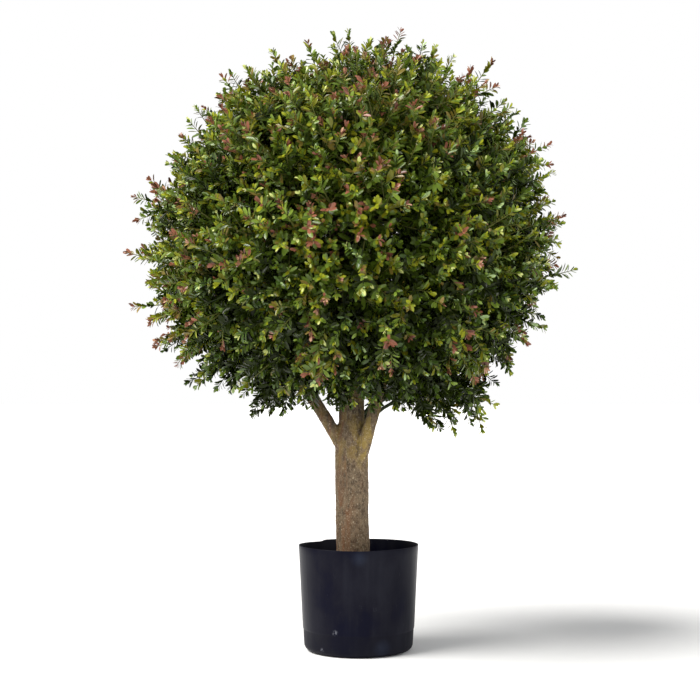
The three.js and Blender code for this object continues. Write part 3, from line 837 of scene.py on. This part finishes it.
@functools.cache
def carrier_ways():
    """The directions of the carriers, as in the solids."""
    draw = chances(CARRIER_SEED)
    ways = []
    for way in spread_ways(CARRIER_COUNT):
        way = way + CARRIER_SCATTER * np.array([2 * next(draw) - 1 for _ in range(3)])
        ways.append(way)
        for _ in range(CARRIER_DRAWS):
            next(draw)
    return np.concatenate((unit(np.array(ways)), stray_ways()))


def mass_middle(name):
    return CROWN_CENTRE + np.array(MASSES[name][0]) * MM


def inside_space(name, points, lap=0.0):
    """Which points lie in a mass's own space: nearer to its middle than to any other's."""
    middle = mass_middle(name)
    kept = np.ones(points.shape[:-1], bool)
    for other in MASSES:
        if other != name:
            inward = unit(middle - mass_middle(other))
            between = (middle + mass_middle(other)) / 2
            kept &= (points - between) @ inward > -lap
    return kept


@functools.cache
def limb_samples():
    samples = [sample for line in limb_lines() for sample in line]
    return np.array([point for point, _ in samples]), np.array([size for _, size in samples])


def clear_of_limbs(points, gap):
    """Which points keep clear of the trunk and boughs."""
    middles, sizes = limb_samples()
    kept = np.ones(len(points), bool)
    for middle, size in zip(middles, sizes):
        kept &= ((points - middle) ** 2).sum(1) > (size + gap) ** 2
    return kept


def bezier(start, bend, end, share):
    """Points and ways along many bowed lines at once; share may be one number or one a line."""
    share = np.asarray(share)[..., None]
    point = start * (1 - share) ** 2 + bend * 2 * share * (1 - share) + end * share ** 2
    way = (bend - start) * (1 - share) + (end - bend) * share
    return point, unit(way)


def squares_to(ways):
    """Two unit vectors square to each direction and to each other."""
    guide = np.where(np.abs(ways[..., 2:3]) < 0.9, (0.0, 0.0, 1.0), (0.0, 1.0, 0.0))
    aside = unit(np.cross(ways, guide))
    return aside, np.cross(aside, ways)


def mass_stem(name):
    """The stem that carries a mass from its limb to its middle: start, bend and end."""
    middle, limb = mass_middle(name), MASSES[name][1]
    if limb in BOUGHS:
        root = np.array(bough_point(limb, 1))
        along = unit(root - np.array(bough_point(limb, 0.98)))
        return root, root + along * np.linalg.norm(middle - root) / 2, middle
    top = middle[2] > TRUNK_TOP
    root = np.array(trunk_point(TRUNK_TOP if top else middle[2] - SIDE_STEM_DROP))
    return root, (root + middle) / 2, middle


class Twigs:
    """Bowed tubes of one kind: rows of start, bend and end, with their radii and colour."""

    def __init__(self, start, bend, end, root_size, tip_size, rings, sides, tint):
        self.start, self.bend, self.end = np.broadcast_arrays(start, bend, end)
        self.root_size, self.tip_size = root_size, tip_size
        self.rings, self.sides, self.tint = rings, sides, tint

    def shell(self):
        """Rings of vertices and the faces between them, for all the tubes."""
        shares = np.linspace(0, 1, self.rings)
        turns = np.linspace(0, 2 * math.pi, self.sides, endpoint=False)
        rows = []
        for share in shares:
            point, way = bezier(self.start, self.bend, self.end, np.full(len(self.start), share))
            aside, across = squares_to(way)
            size = self.root_size + (self.tip_size - self.root_size) * share
            ring = [point + size * (math.cos(t) * aside + math.sin(t) * across) for t in turns]
            rows.append(np.stack(ring, 1))
        verts = np.stack(rows, 1)
        ring, side = np.meshgrid(np.arange(self.rings - 1), np.arange(self.sides), indexing="ij")
        ring, side = ring.ravel(), side.ravel()
        after = (side + 1) % self.sides
        low, high = ring * self.sides, (ring + 1) * self.sides
        quads = np.stack((low + side, high + side, high + after, low + after), 1)
        step = self.rings * self.sides
        faces = quads[None] + (np.arange(len(verts)) * step)[:, None, None]
        tints = np.broadcast_to(self.tint, (len(verts),))
        return verts.reshape(-1, 3), faces.reshape(-1, 4), np.repeat(tints, len(quads))


def noise_along(ways, stretch, shift):
    """Smooth noise for each direction."""
    return np.array([noise.noise(Vector(way) * stretch + Vector(shift)) for way in ways])


def spray_plan(crown, draw):
    """All sprays of the ball: direction, reach and heading of each."""
    ways = spread_ways(crown.sprays)
    ways = unit(ways + draw.uniform(-WAY_SCATTER, WAY_SCATTER, ways.shape))
    tufts = noise_along(ways, 5.5, (2, 7, 4))
    share = 1 + TUFT_RISE * tufts + draw.triangular(*REACH_SPREAD, len(ways))
    reach = crown_reach(ways) * share
    strays = stray_ways()
    stray_reach = np.array([size for _, size in STRAYS]) * MM
    hanging = np.array([(size, depth) for _, size, depth in HANGING]) * MM
    low = front_ways([angle for angle, _, _ in HANGING]) * hanging[:, :1]
    low[:, 1] = hanging[:, 1]
    ways = np.concatenate((ways, strays, unit(low)))
    reach = np.concatenate((reach, stray_reach, np.linalg.norm(low, axis=1)))
    heading = ways + draw.uniform(-HEADING_SCATTER, HEADING_SCATTER, ways.shape)
    heading[:, 2] += HEADING_LIFT * np.clip(1 + 2 * ways[:, 2], 0, 1)
    return ways, reach, unit(heading)


@functools.cache
def grown():
    """Everything that grows from the limbs, mass by mass: twigs, and sprigs ready for leaves."""
    crown = bpy.context.scene.topiary_crown
    draw = np.random.default_rng(crown.seed)
    ways, reach, heading = spray_plan(crown, draw)
    kinds = spray_kinds(ways, reach, draw)
    return {name: grow_mass(name, crown, ways, reach, heading, kinds, draw) for name in MASSES}


def spray_kinds(ways, reach, draw):
    """Deals the sprays out: fresh and flushed ones gather in drifts and reach out furthest, and
    lighter kinds go where light falls, darker ones below: painted light and shade.
    """
    length = reach / crown_reach(ways)
    drift = noise_along(ways, 2.6, (5, 1, 3))
    across, up = ways[:, 0], ways[:, 2]
    # Painted light and shade: sprays in lit places get lighter kinds, those under the ball darker
    # ones.
    light = LIGHT_HEIGHT * up + LIGHT_UNDER * np.minimum(up, 0)
    light = light - LIGHT_LEFT * across + LIGHT_DRIFT * drift
    light += (LIGHT_UPPER_LEFT * np.maximum(0, up - across - 1)
              + LIGHT_LOWER_RIGHT * np.maximum(0, across - up - 1))
    chance = draw.uniform(0, 1, len(ways))
    left = np.maximum(0, -across - FAR_LEFT)
    flushed = chance - RED_GROWTH * (length - length.mean()) < RED_SHARE + RED_LEFT * left
    flushed &= up > RED_LOWEST
    first_stray, first_low = len(ways) - len(HANGING) - len(STRAYS), len(ways) - len(HANGING)
    flushed[first_stray:first_low] = [angle in RED_STRAYS for angle, _ in STRAYS]
    flushed[first_low:] &= np.arange(len(HANGING)) % HANGING_REDS == 1
    chance -= YOUNG_GROWTH * (length - length.mean()) + LIGHT_SHARE * light
    # Painted shade: the hanging sprays get darker kinds.
    chance[first_low:] += HANGING_SHADE
    dark = np.where(up < SHADED_UNDER, KIND_SHADED, KIND_DEEP)
    return np.select(
        (flushed, chance < LIME_BELOW, chance < GREEN_BELOW),
        (KIND_FLUSHED, KIND_LIME, KIND_GREEN), dark,
    )


def stem_tints(kinds):
    """Fresh sprays have greener stems."""
    return np.where(kinds <= KIND_GREEN, TINT_DARK_STEM, TINT_GREEN_STEM)


def grow_mass(name, crown, ways, reach, heading, kinds, draw):
    """Stem, carriers, spray stems and sprigs of one mass."""
    middle = mass_middle(name)
    start, bend, end = mass_stem(name)
    twigs = [Twigs(start[None], bend[None], end[None], *MASS_STEM, TINT_WOOD)]

    carriers = carrier_ways()
    carrier_ends = CROWN_CENTRE + carriers * (crown_reach(carriers) * CARRIER_SHARE)[:, None]
    tips = CROWN_CENTRE + carriers * crown_reach(carriers)[:, None]
    kept = inside_space(name, tips) & clear_of_limbs(carrier_ends, CARRIER_GAP)
    ends = carrier_ends[kept]
    bends = (middle + ends) / 2 + draw.uniform(-CARRIER_BOW, CARRIER_BOW, ends.shape) * MM
    twigs.append(Twigs(middle, bends, ends, *CARRIER, TINT_WOOD))
    starts = np.broadcast_to(middle, ends.shape)
    if name in LOW_STEMS:
        low = np.array(LOW_STEMS[name]) * MM
        twigs.append(Twigs(*low.transpose(1, 0, 2), *LOW_STEM, TINT_DARK_STEM))
        starts, bends, ends = (np.concatenate(pair) for pair in
                               zip((starts, bends, ends), low.transpose(1, 0, 2)))

    spray_tips = CROWN_CENTRE + ways * reach[:, None]
    mine = inside_space(name, spray_tips)
    tips, heads, limit = spray_tips[mine], heading[mine], (reach / crown_reach(ways))[mine]
    kinds = kinds[mine]
    nearest = ((tips[:, None] - ends[None]) ** 2).sum(2).argmin(1)
    fork = draw.uniform(*SPRAY_FORKS, len(tips))
    roots, _ = bezier(starts[nearest], bends[nearest], ends[nearest], fork)
    tip_length = crown.sprig_length * draw.uniform(*TIP_SPRIG_LENGTHS, len(tips))
    stem_ends = tips - heads * tip_length[:, None]
    span = np.linalg.norm(stem_ends - roots, axis=1)
    stem_bends = stem_ends - heads * (SPRAY_BOW * span)[:, None]
    twigs.append(Twigs(roots, stem_bends, stem_ends, *SPRAY_STEM, stem_tints(kinds)))
    sprigs = grow_sprigs(crown, (roots, stem_bends, stem_ends), tips, heads, limit, kinds, span,
                         draw)
    kept = inside_space(name, sprigs["end"], SPACE_LAP)
    kept &= clear_of_limbs(sprigs["end"], SPRIG_TIP_GAP)
    kept &= clear_of_limbs((sprigs["end"] + sprigs["start"]) / 2, SPRIG_MIDDLE_GAP)
    sprigs = {key: rows[kept] for key, rows in sprigs.items()}
    twigs.append(Twigs(sprigs["start"], sprigs["bend"], sprigs["end"], *SPRIG,
                       stem_tints(sprigs["kind"])))
    return twigs, sprigs, draw.integers(1 << 30)


def grow_sprigs(crown, stems, tips, heads, limit, kinds, span, draw):
    """A terminal sprig on each spray stem, and side sprigs that alternate down it."""
    roots, bends, ends = stems
    rows = [{"start": ends, "way": heads, "lean": heads, "kind": kinds, "limit": limit,
             "length": np.linalg.norm(tips - ends, axis=1), "depth": np.zeros(len(ends))}]
    first_turn = draw.uniform(0, 2 * math.pi, len(ends))
    for k in range(crown.side_sprigs):
        jitter = draw.uniform(-SPRIG_JITTER, SPRIG_JITTER, len(ends)) * MM
        back = (k + FIRST_SPRIG) * crown.sprig_step + jitter
        kept = back < LAST_SPRIG * span
        share = 1 - (back / span)[kept]
        point, way = bezier(roots[kept], bends[kept], ends[kept], share)
        aside, across = squares_to(way)
        turn = (first_turn[kept] + k * GOLDEN_TURN)[:, None]
        side = aside * np.cos(turn) + across * np.sin(turn)
        lean = np.radians(draw.uniform(*SPRIG_LEANS, len(point)))[:, None]
        length = crown.sprig_length * draw.uniform(*SIDE_SPRIG_LENGTHS, len(point))
        rows.append({"start": point, "way": unit(way * np.cos(lean) + side * np.sin(lean)),
                     "lean": way, "length": length, "kind": kinds[kept],
                     "limit": limit[kept], "depth": np.full(len(point), k + 1.0)})
    sprigs = {key: np.concatenate([row[key] for row in rows]) for key in rows[0]}
    slack = draw.uniform(*SPRIG_LIMITS, len(sprigs["limit"]))
    sprigs["limit"] = sprigs["limit"] * (1 + slack)
    droop = draw.uniform(-SPRIG_DROOP, SPRIG_DROOP, sprigs["way"].shape)
    for _ in range(TRIM_ROUNDS):
        reach = sprigs["length"][:, None]
        bend = sprigs["start"] + sprigs["way"] * reach * 0.5
        turned = unit(sprigs["way"] * OWN_WAY + sprigs["lean"] * STEM_WAY + droop)
        end = bend + turned * reach * 0.5
        out = end - CROWN_CENTRE
        share = np.linalg.norm(out, axis=1) / crown_reach(unit(out))
        over = (share > sprigs["limit"]) & (sprigs["depth"] > 0)
        sprigs["length"] = np.where(over, sprigs["length"] * TRIM, sprigs["length"])
    sprigs["bend"], sprigs["end"] = bend, end
    kept = sprigs["length"] > SHORTEST_SPRIG * crown.sprig_length
    return {key: value[kept] for key, value in sprigs.items()}


# ---- Leaves ----

TWIG_TINTS = (("stem_brown", (72, 60, 44)), ("stem_dark_green", (48, 58, 34)),
              ("stem_olive", (108, 112, 52)))
TWIG_ROUGHNESS = 0.55
LEAF_TINTS = (
    ("leaf_black_green", (32, 42, 5)),
    ("leaf_deep_green", (54, 69, 13)),
    ("leaf_blue_green", (65, 87, 33)),
    ("leaf_green", (87, 107, 34)),
    ("leaf_olive", (111, 112, 20)),
    ("leaf_moss", (117, 139, 49)),
    ("leaf_lime", (153, 159, 38)),
    # Pale lime: the pale tips of fresh sprays, and partly also a painted highlight on the brightest
    # leaves.
    ("leaf_pale_lime_sheen", (208, 215, 134)),
    # Pale mint stands in for glints: a painted highlight on single leaves.
    ("leaf_painted_glint", (163, 187, 125)),
    ("leaf_bronze", (119, 105, 45)),
    ("leaf_amber", (146, 123, 61)),
    ("leaf_pink", (189, 146, 117)),
    ("leaf_red", (144, 92, 70)),
    ("leaf_burgundy", (102, 64, 50)),
)
(BLACK, DEEP, BLUE, GREEN, OLIVE, MOSS, LIME, PALE_SHEEN, GLINT,
 BRONZE, AMBER, PINK, RED, BURGUNDY) = range(len(LEAF_TINTS))

# For each kind of spray, the tints from a sprig's tip inwards; each leaf draws one of its row.
TINT_RUNS = {
    # The shaded kind's black-green runs are painted shade under the ball.
    KIND_SHADED: ((GREEN, BLUE, DEEP, MOSS), (BLUE, BLACK, DEEP), (BLACK, DEEP, BLACK),
                  (BLACK,), (BLACK,)),
    KIND_DEEP: ((GREEN, BLUE, MOSS, OLIVE, GREEN, GLINT), (BLUE, GREEN, DEEP, OLIVE),
                (DEEP, BLUE, DEEP, GREEN), (DEEP, BLACK, DEEP), (BLACK, DEEP)),
    KIND_GREEN: ((MOSS, LIME, GREEN, PALE_SHEEN), (OLIVE, GREEN, MOSS, GLINT), (GREEN, OLIVE, BLUE),
                 (GREEN, DEEP, BLUE), (DEEP, BLACK)),
    KIND_LIME: ((LIME, PALE_SHEEN, LIME, MOSS), (LIME, MOSS, MOSS, GREEN), (MOSS, OLIVE, LIME),
                (OLIVE, GREEN, BRONZE), (GREEN, DEEP)),
    KIND_FLUSHED: ((RED, PINK, RED, BURGUNDY), (RED, BURGUNDY, RED, AMBER),
                   (RED, BRONZE, LIME, OLIVE), (OLIVE, MOSS, GREEN), (GREEN, DEEP)),
}

DARK_TINT = 85  # tints with every channel below this are dull
DULL_SHINE, SHINE = 0.14, 0.35
LEAF_ROWS = 3
LEAF_ALONG = (0.0, 0.46, 0.83, 1.0)
LEAF_BREADTH = (0.0, 0.94, 0.80, 0.0)
LEAF_FOLD = 0.30
# Size and lean, in degrees, of the pairs from a sprig's tip inwards; the last holds for the rest.
PAIR_SIZES = (0.57, 0.70, 0.81, 0.90, 0.98, 1.04, 1.09, 1.12)
PAIR_LEANS = (18, 32, 40, 45, 49, 53, 57, 60)
PAIR_COUNT, BARE_ROOT = 13, 7 * MM  # the most pairs on a sprig, and its length without any
# How far the first pair, the next and the rest stand back from the tip, and their scatter, in mm.
TIP_BACK, NEXT_BACK, CLOSER, PAIR_JITTER = 0.5, 1.2, 0.9, 0.7
CLOSER_STEPS = 3
OUTER_DEPTH = 2  # the sprigs nearest to a spray's tip have closer pairs
OUTER_SPACING, INNER_SPACING = 0.88, 1.05
SPRIG_SCALES, FULLER, FULLER_STEPS = (0.80, 1.16), 0.08, 3
FLAT_SHARE, FLAT_TURN = 0.65, 0.35  # sprigs whose pairs lie nearly in one plane
LEAF_TURN, LEAF_TILT, LEAF_SIZES = 0.3, 11, (0.80, 1.15)  # radians, degrees and shares
FACING_SCATTER, FACING_LIFT = 0.45, (0, 0, 0.25)
LEAF_WIDTHS, WIDTH_POWER, LEAF_CURLS = (0.85, 1.15), 0.8, (-0.22, 0.06)
LEAF_GAP = 1.5 * MM  # clear of the limbs
# How fast the tints run inwards along a sprig and down a spray, and their scatter.
TINT_STEP, TINT_DEPTH, TINT_SCATTER = 0.62, 0.42, 0.5
TINT_CHOICES, SHARED_TINTS = 12, 0.55  # draws from a row, and how many leaves share a sprig's


def leaf_pattern():
    """One leaf of eight triangles: a blade widest past its middle, folded at its rib."""
    bm = bmesh.new()
    bmesh.ops.create_grid(bm, x_segments=LEAF_ROWS, y_segments=2, size=0.5)
    for vert in bm.verts:
        share = vert.co.x + 0.5
        row = round(share * LEAF_ROWS)
        vert.co = (LEAF_ALONG[row], vert.co.y * LEAF_BREADTH[row], 0)
        vert.co.z = LEAF_FOLD * abs(vert.co.y)
    bmesh.ops.remove_doubles(bm, verts=bm.verts, dist=1e-5)
    bm.verts.index_update()
    verts = np.array([vert.co for vert in bm.verts])
    faces = [[vert.index for vert in face.verts] for face in bm.faces]
    bm.free()
    return verts, faces


def sprig_leaves(crown, sprigs, draw):
    """Opposite pairs of leaves down each sprig, turned from pair to pair, and a tuft at its tip."""
    count = len(sprigs["length"])
    roll = draw.uniform(0, 2 * math.pi, count)
    flat = draw.uniform(0, 1, count) < FLAT_SHARE
    scale = draw.uniform(*SPRIG_SCALES, count)
    outer, depth = sprigs["depth"] < OUTER_DEPTH, sprigs["depth"]
    spacing = crown.pair_step * scale * np.where(outer, OUTER_SPACING, INNER_SPACING)
    fullness = scale * (1 + FULLER * np.clip(depth - 1, 0, FULLER_STEPS))
    line = [sprigs[key] for key in ("start", "bend", "end")]
    parts = []
    for pair in range(PAIR_COUNT):
        steps = max(0, pair - 1)
        back = TIP_BACK * MM + (pair > 0) * NEXT_BACK * MM + steps * spacing
        back = back - np.where(outer, CLOSER * MM * min(steps, CLOSER_STEPS), 0)
        back = back + draw.uniform(-PAIR_JITTER, PAIR_JITTER, count) * MM
        kept = np.flatnonzero(back < sprigs["length"] - BARE_ROOT)
        share = 1 - np.clip(back[kept] / sprigs["length"][kept], 0, 1)
        point, way = bezier(*(rows[kept] for rows in line), share)
        aside, across = squares_to(way)
        turn = roll[kept] + pair * np.where(flat[kept], FLAT_TURN, math.pi / 2)
        row = min(pair, len(PAIR_SIZES) - 1)
        size, lean = PAIR_SIZES[row] * fullness[kept], PAIR_LEANS[row]
        for half in (0, math.pi):
            angle = (turn + half + draw.uniform(-LEAF_TURN, LEAF_TURN, len(kept)))[:, None]
            side = aside * np.cos(angle) + across * np.sin(angle)
            tilt = lean + draw.uniform(-LEAF_TILT, LEAF_TILT, len(kept))
            tilt = np.radians(tilt)[:, None]
            along = way * np.cos(tilt) + side * np.sin(tilt)
            scatter = draw.uniform(-FACING_SCATTER, FACING_SCATTER, way.shape)
            facing = way + scatter + FACING_LIFT
            parts.append({"root": point, "along": along, "facing": facing,
                          "size": size * draw.uniform(*LEAF_SIZES, len(kept)),
                          "step": np.full(len(kept), pair), "sprig": kept})
    return {key: np.concatenate([part[key] for part in parts]) for key in parts[0]}


def leaf_tints(leaves, sprigs, draw):
    """A plain tint for each leaf, from its spray's kind and its place on the sprig."""
    kind = sprigs["kind"][leaves["sprig"]]
    depth = sprigs["depth"][leaves["sprig"]]
    step = leaves["step"] * TINT_STEP + TINT_DEPTH * np.maximum(0, depth - OUTER_DEPTH)
    step = step + draw.uniform(-TINT_SCATTER, TINT_SCATTER, len(kind))
    row = np.clip(np.round(step), 0, len(TINT_RUNS[KIND_LIME]) - 1).astype(int)
    shades = draw.integers(0, TINT_CHOICES, len(kind))
    shared = draw.integers(0, TINT_CHOICES, len(sprigs["kind"]))[leaves["sprig"]]
    shades = np.where(draw.uniform(0, 1, len(kind)) < SHARED_TINTS, shared, shades)
    tints = np.zeros(len(kind), int)
    for spray_kind, runs in TINT_RUNS.items():
        for place, run in enumerate(runs):
            chosen = (kind == spray_kind) & (row == place)
            tints[chosen] = np.array(run)[shades[chosen] % len(run)]
    return tints


def leaf_mesh(mass, crown, sprigs, seed):
    """All the leaves of a mass as one mesh."""
    draw = np.random.default_rng(seed)
    leaves = sprig_leaves(crown, sprigs, draw)
    along = unit(leaves["along"])
    across = unit(np.cross(leaves["facing"], along))
    upward = np.cross(along, across)
    length = leaves["size"] * crown.leaf_length
    tip = leaves["root"] + along * length[:, None]
    kept = inside_space(mass, tip, SPACE_LAP) & clear_of_limbs(tip, LEAF_GAP)
    kept &= clear_of_limbs((tip + leaves["root"]) / 2, LEAF_GAP)
    leaves = {key: rows[kept] for key, rows in leaves.items()}
    along, across, upward, length = along[kept], across[kept], upward[kept], length[kept]
    width = leaves["size"] ** WIDTH_POWER * crown.leaf_width
    width = width * draw.uniform(*LEAF_WIDTHS, len(length))
    curl = draw.uniform(*LEAF_CURLS, len(length)) * length
    pattern, pattern_faces = leaf_pattern()
    x, y, z = pattern.T
    verts = (leaves["root"][:, None] + along[:, None] * (x * length[:, None])[..., None]
             + across[:, None] * (y * width[:, None])[..., None]
             + upward[:, None] * (z * width[:, None] + x * x * curl[:, None])[..., None])
    tints = leaf_tints(leaves, sprigs, draw)
    faces = [np.array([face for face in pattern_faces if len(face) == corners])
             for corners in (3, 4)]
    faces = [rows[None] + (np.arange(len(verts)) * len(pattern))[:, None, None] for rows in faces]
    groups = [(rows.reshape(-1, rows.shape[2]), np.repeat(tints, rows.shape[1])) for rows in faces]
    return joined_mesh(mass.replace("foliage", "leaves"), verts.reshape(-1, 3), groups)


def joined_mesh(name, verts, groups):
    """One mesh from arrays: vertices, and groups of faces with the tint of each face."""
    mesh = bpy.data.meshes.new(name)
    mesh.vertices.add(len(verts))
    mesh.vertices.foreach_set("co", verts.astype(np.float32).ravel())
    corners = np.concatenate([faces.ravel() for faces, _ in groups])
    sizes = np.concatenate([np.full(len(faces), faces.shape[1]) for faces, _ in groups])
    mesh.loops.add(len(corners))
    mesh.loops.foreach_set("vertex_index", corners.astype(np.int32))
    mesh.polygons.add(len(sizes))
    mesh.polygons.foreach_set("loop_start", (np.cumsum(sizes) - sizes).astype(np.int32))
    mesh.polygons.foreach_set("loop_total", sizes.astype(np.int32))
    tints = np.concatenate([tints for _, tints in groups])
    mesh.polygons.foreach_set("material_index", tints.astype(np.int32))
    mesh.polygons.foreach_set("use_smooth", np.ones(len(sizes), bool))
    mesh.update(calc_edges=True)
    mesh.validate()
    return mesh


def plain_finish(name, colour, roughness):
    """A plain plastic finish, for leaves and twigs; the darkest ones shine less."""
    return Finish(
        name, Roughness=roughness, Base_Color=opaque(rgb(*colour)),
        Specular_IOR_Level=DULL_SHINE if max(colour) < DARK_TINT else SHINE,
    ).material


def shared_finishes(tints, roughness):
    return [bpy.data.materials.get(name) or plain_finish(name, colour, roughness)
            for name, colour in tints]


class TOPIARY_OT_twigs(bpy.types.Operator):
    """Grow the stems and twigs of each mass of foliage on from its limb"""

    bl_idname = "topiary.twigs"
    bl_label = "Stems and Twigs"

    def execute(self, context):
        for mass, (twigs, _, _) in grown().items():
            verts, groups, count = [], [], 0
            for kind in twigs:
                points, faces, tints = kind.shell()
                groups.append((faces + count, tints))
                verts.append(points)
                count += len(points)
            mesh = joined_mesh(mass.replace("foliage", "twigs"), np.concatenate(verts), groups)
            finish_piece(mesh, shared_finishes(TWIG_TINTS, TWIG_ROUGHNESS), "foliage", mass)
        return {"FINISHED"}


class TOPIARY_OT_leaves(bpy.types.Operator):
    """Set the leaves on the twigs of each mass of foliage"""

    bl_idname = "topiary.leaves"
    bl_label = "Leaves"

    def execute(self, context):
        crown = context.scene.topiary_crown
        for mass, (_, sprigs, seed) in grown().items():
            mesh = leaf_mesh(mass, crown, sprigs, seed)
            finish_piece(mesh, shared_finishes(LEAF_TINTS, crown.leaf_gloss), "foliage", mass)
        return {"FINISHED"}


# ---- Stage ----

FLOOR_SIZE, FLOOR_TILES = 14, 8
FLOOR_LEVEL = -0.0006  # just under the pot, which stands on z = 0
FLOOR_DARK, FLOOR_PALE = rgb(246, 246, 246), rgb(250, 250, 250)
SENSOR_WIDTH = 36
# Where each light comes from, its breadth in degrees, and its colour.
KEY_LIGHT = ((-1.7, -0.75, 2.4), 40, (1, 0.985, 0.95))
FILL_LIGHT = ((2.0, -1.6, 1.2), 60, (0.96, 0.98, 1))


def pale_floor():
    """A wide plain floor, which is part of the stage."""
    bm = bmesh.new()
    bmesh.ops.create_grid(bm, x_segments=FLOOR_TILES, y_segments=FLOOR_TILES, size=FLOOR_SIZE)
    bmesh.ops.translate(bm, vec=(0, 0, FLOOR_LEVEL), verts=bm.verts)
    mesh = mesh_from(bm, "studio_floor")
    finish = Finish("studio_floor", Roughness=0.8)
    grain = finish.noise((40, 40, 40), detail=3)
    finish.use("Base Color", finish.paint(FLOOR_DARK, FLOOR_PALE, grain))
    mesh.materials.append(finish.material)
    floor = bpy.data.objects.new("studio_floor", mesh)
    bpy.context.scene.collection.objects.link(floor)


def soft_sun(name, strength, place, breadth, colour):
    """A broad soft light that falls evenly from one side."""
    lamp = bpy.data.lights.new(name, "SUN")
    lamp.angle = math.radians(breadth)
    lamp.energy = strength
    lamp.color = colour
    lamp_object = bpy.data.objects.new(name, lamp)
    lamp_object.rotation_euler = Vector(place).to_track_quat("Z", "Y").to_euler()
    bpy.context.scene.collection.objects.link(lamp_object)


def light_studio(tree, stage):
    """A white backdrop, with a dimmer room that lights the plant from all round."""
    room = tree.nodes["Background"]
    room.inputs["Color"].default_value = (1, 1, 1, 1)
    room.inputs["Strength"].default_value = stage.ambient
    backdrop = tree.nodes.new("ShaderNodeBackground")
    backdrop.inputs["Color"].default_value = (1, 1, 1, 1)
    mix = tree.nodes.new("ShaderNodeMixShader")
    seen = tree.nodes.new("ShaderNodeLightPath")
    tree.links.new(seen.outputs["Is Camera Ray"], mix.inputs[0])
    tree.links.new(room.outputs[0], mix.inputs[1])
    tree.links.new(backdrop.outputs[0], mix.inputs[2])
    tree.links.new(mix.outputs[0], tree.nodes["World Output"].inputs["Surface"])


def aim_camera(stage):
    """The camera stands in front of the plant and looks level across it."""
    camera = bpy.data.cameras.new("camera")
    camera.lens = stage.lens
    camera.sensor_width = SENSOR_WIDTH
    camera_object = bpy.data.objects.new("camera", camera)
    place = Vector(stage.camera_place)
    camera_object.location = place
    way = Vector(stage.camera_aim) - place
    camera_object.rotation_euler = way.to_track_quat("-Z", "Y").to_euler()
    bpy.context.scene.collection.objects.link(camera_object)
    bpy.context.scene.camera = camera_object


class TOPIARY_OT_stage(bpy.types.Operator):
    """Set up the pale floor, the soft light and the camera"""

    bl_idname = "topiary.stage"
    bl_label = "Stage"

    def execute(self, context):
        stage = context.scene.topiary_stage
        pale_floor()
        world = bpy.data.worlds.new("studio")
        context.scene.world = world
        world.use_nodes = True
        light_studio(world.node_tree, stage)
        soft_sun("key_light", stage.key, *KEY_LIGHT)
        soft_sun("fill_light", stage.fill, *FILL_LIGHT)
        aim_camera(stage)
        context.scene.view_settings.view_transform = "Standard"
        return {"FINISHED"}


# ---- Panel and registration ----

STEPS = ("pot", "cement", "wood", "twigs", "leaves", "stage")
SETTINGS = {
    "topiary_pot": TopiaryPotSettings,
    "topiary_wood": TopiaryWoodSettings,
    "topiary_crown": TopiaryCrownSettings,
    "topiary_stage": TopiaryStageSettings,
}


class TOPIARY_PT_panel(bpy.types.Panel):
    """The topiary's pieces and settings"""

    bl_idname = "TOPIARY_PT_panel"
    bl_label = "Ball Topiary"
    bl_space_type = "VIEW_3D"
    bl_region_type = "UI"
    bl_category = "Topiary"

    def draw(self, context):
        layout = self.layout
        for step in STEPS:
            layout.operator("topiary." + step)
        for name in SETTINGS:
            group = getattr(context.scene, name)
            box = layout.box()
            for setting in group.bl_rna.properties:
                if setting.identifier not in ("name", "rna_type"):
                    box.prop(group, setting.identifier)


OPERATORS = (TOPIARY_OT_pot, TOPIARY_OT_cement, TOPIARY_OT_wood, TOPIARY_OT_twigs,
             TOPIARY_OT_leaves, TOPIARY_OT_stage)
CLASSES = (*SETTINGS.values(), *OPERATORS, TOPIARY_PT_panel)


def register():
    for item in CLASSES:
        bpy.utils.register_class(item)
    for name, group in SETTINGS.items():
        setattr(bpy.types.Scene, name, bpy.props.PointerProperty(type=group))


def unregister():
    for name in SETTINGS:
        delattr(bpy.types.Scene, name)
    for item in reversed(CLASSES):
        bpy.utils.unregister_class(item)


def main():
    register()
    for step in STEPS:
        getattr(bpy.ops.topiary, step)()


if __name__ == "__main__":
    main()
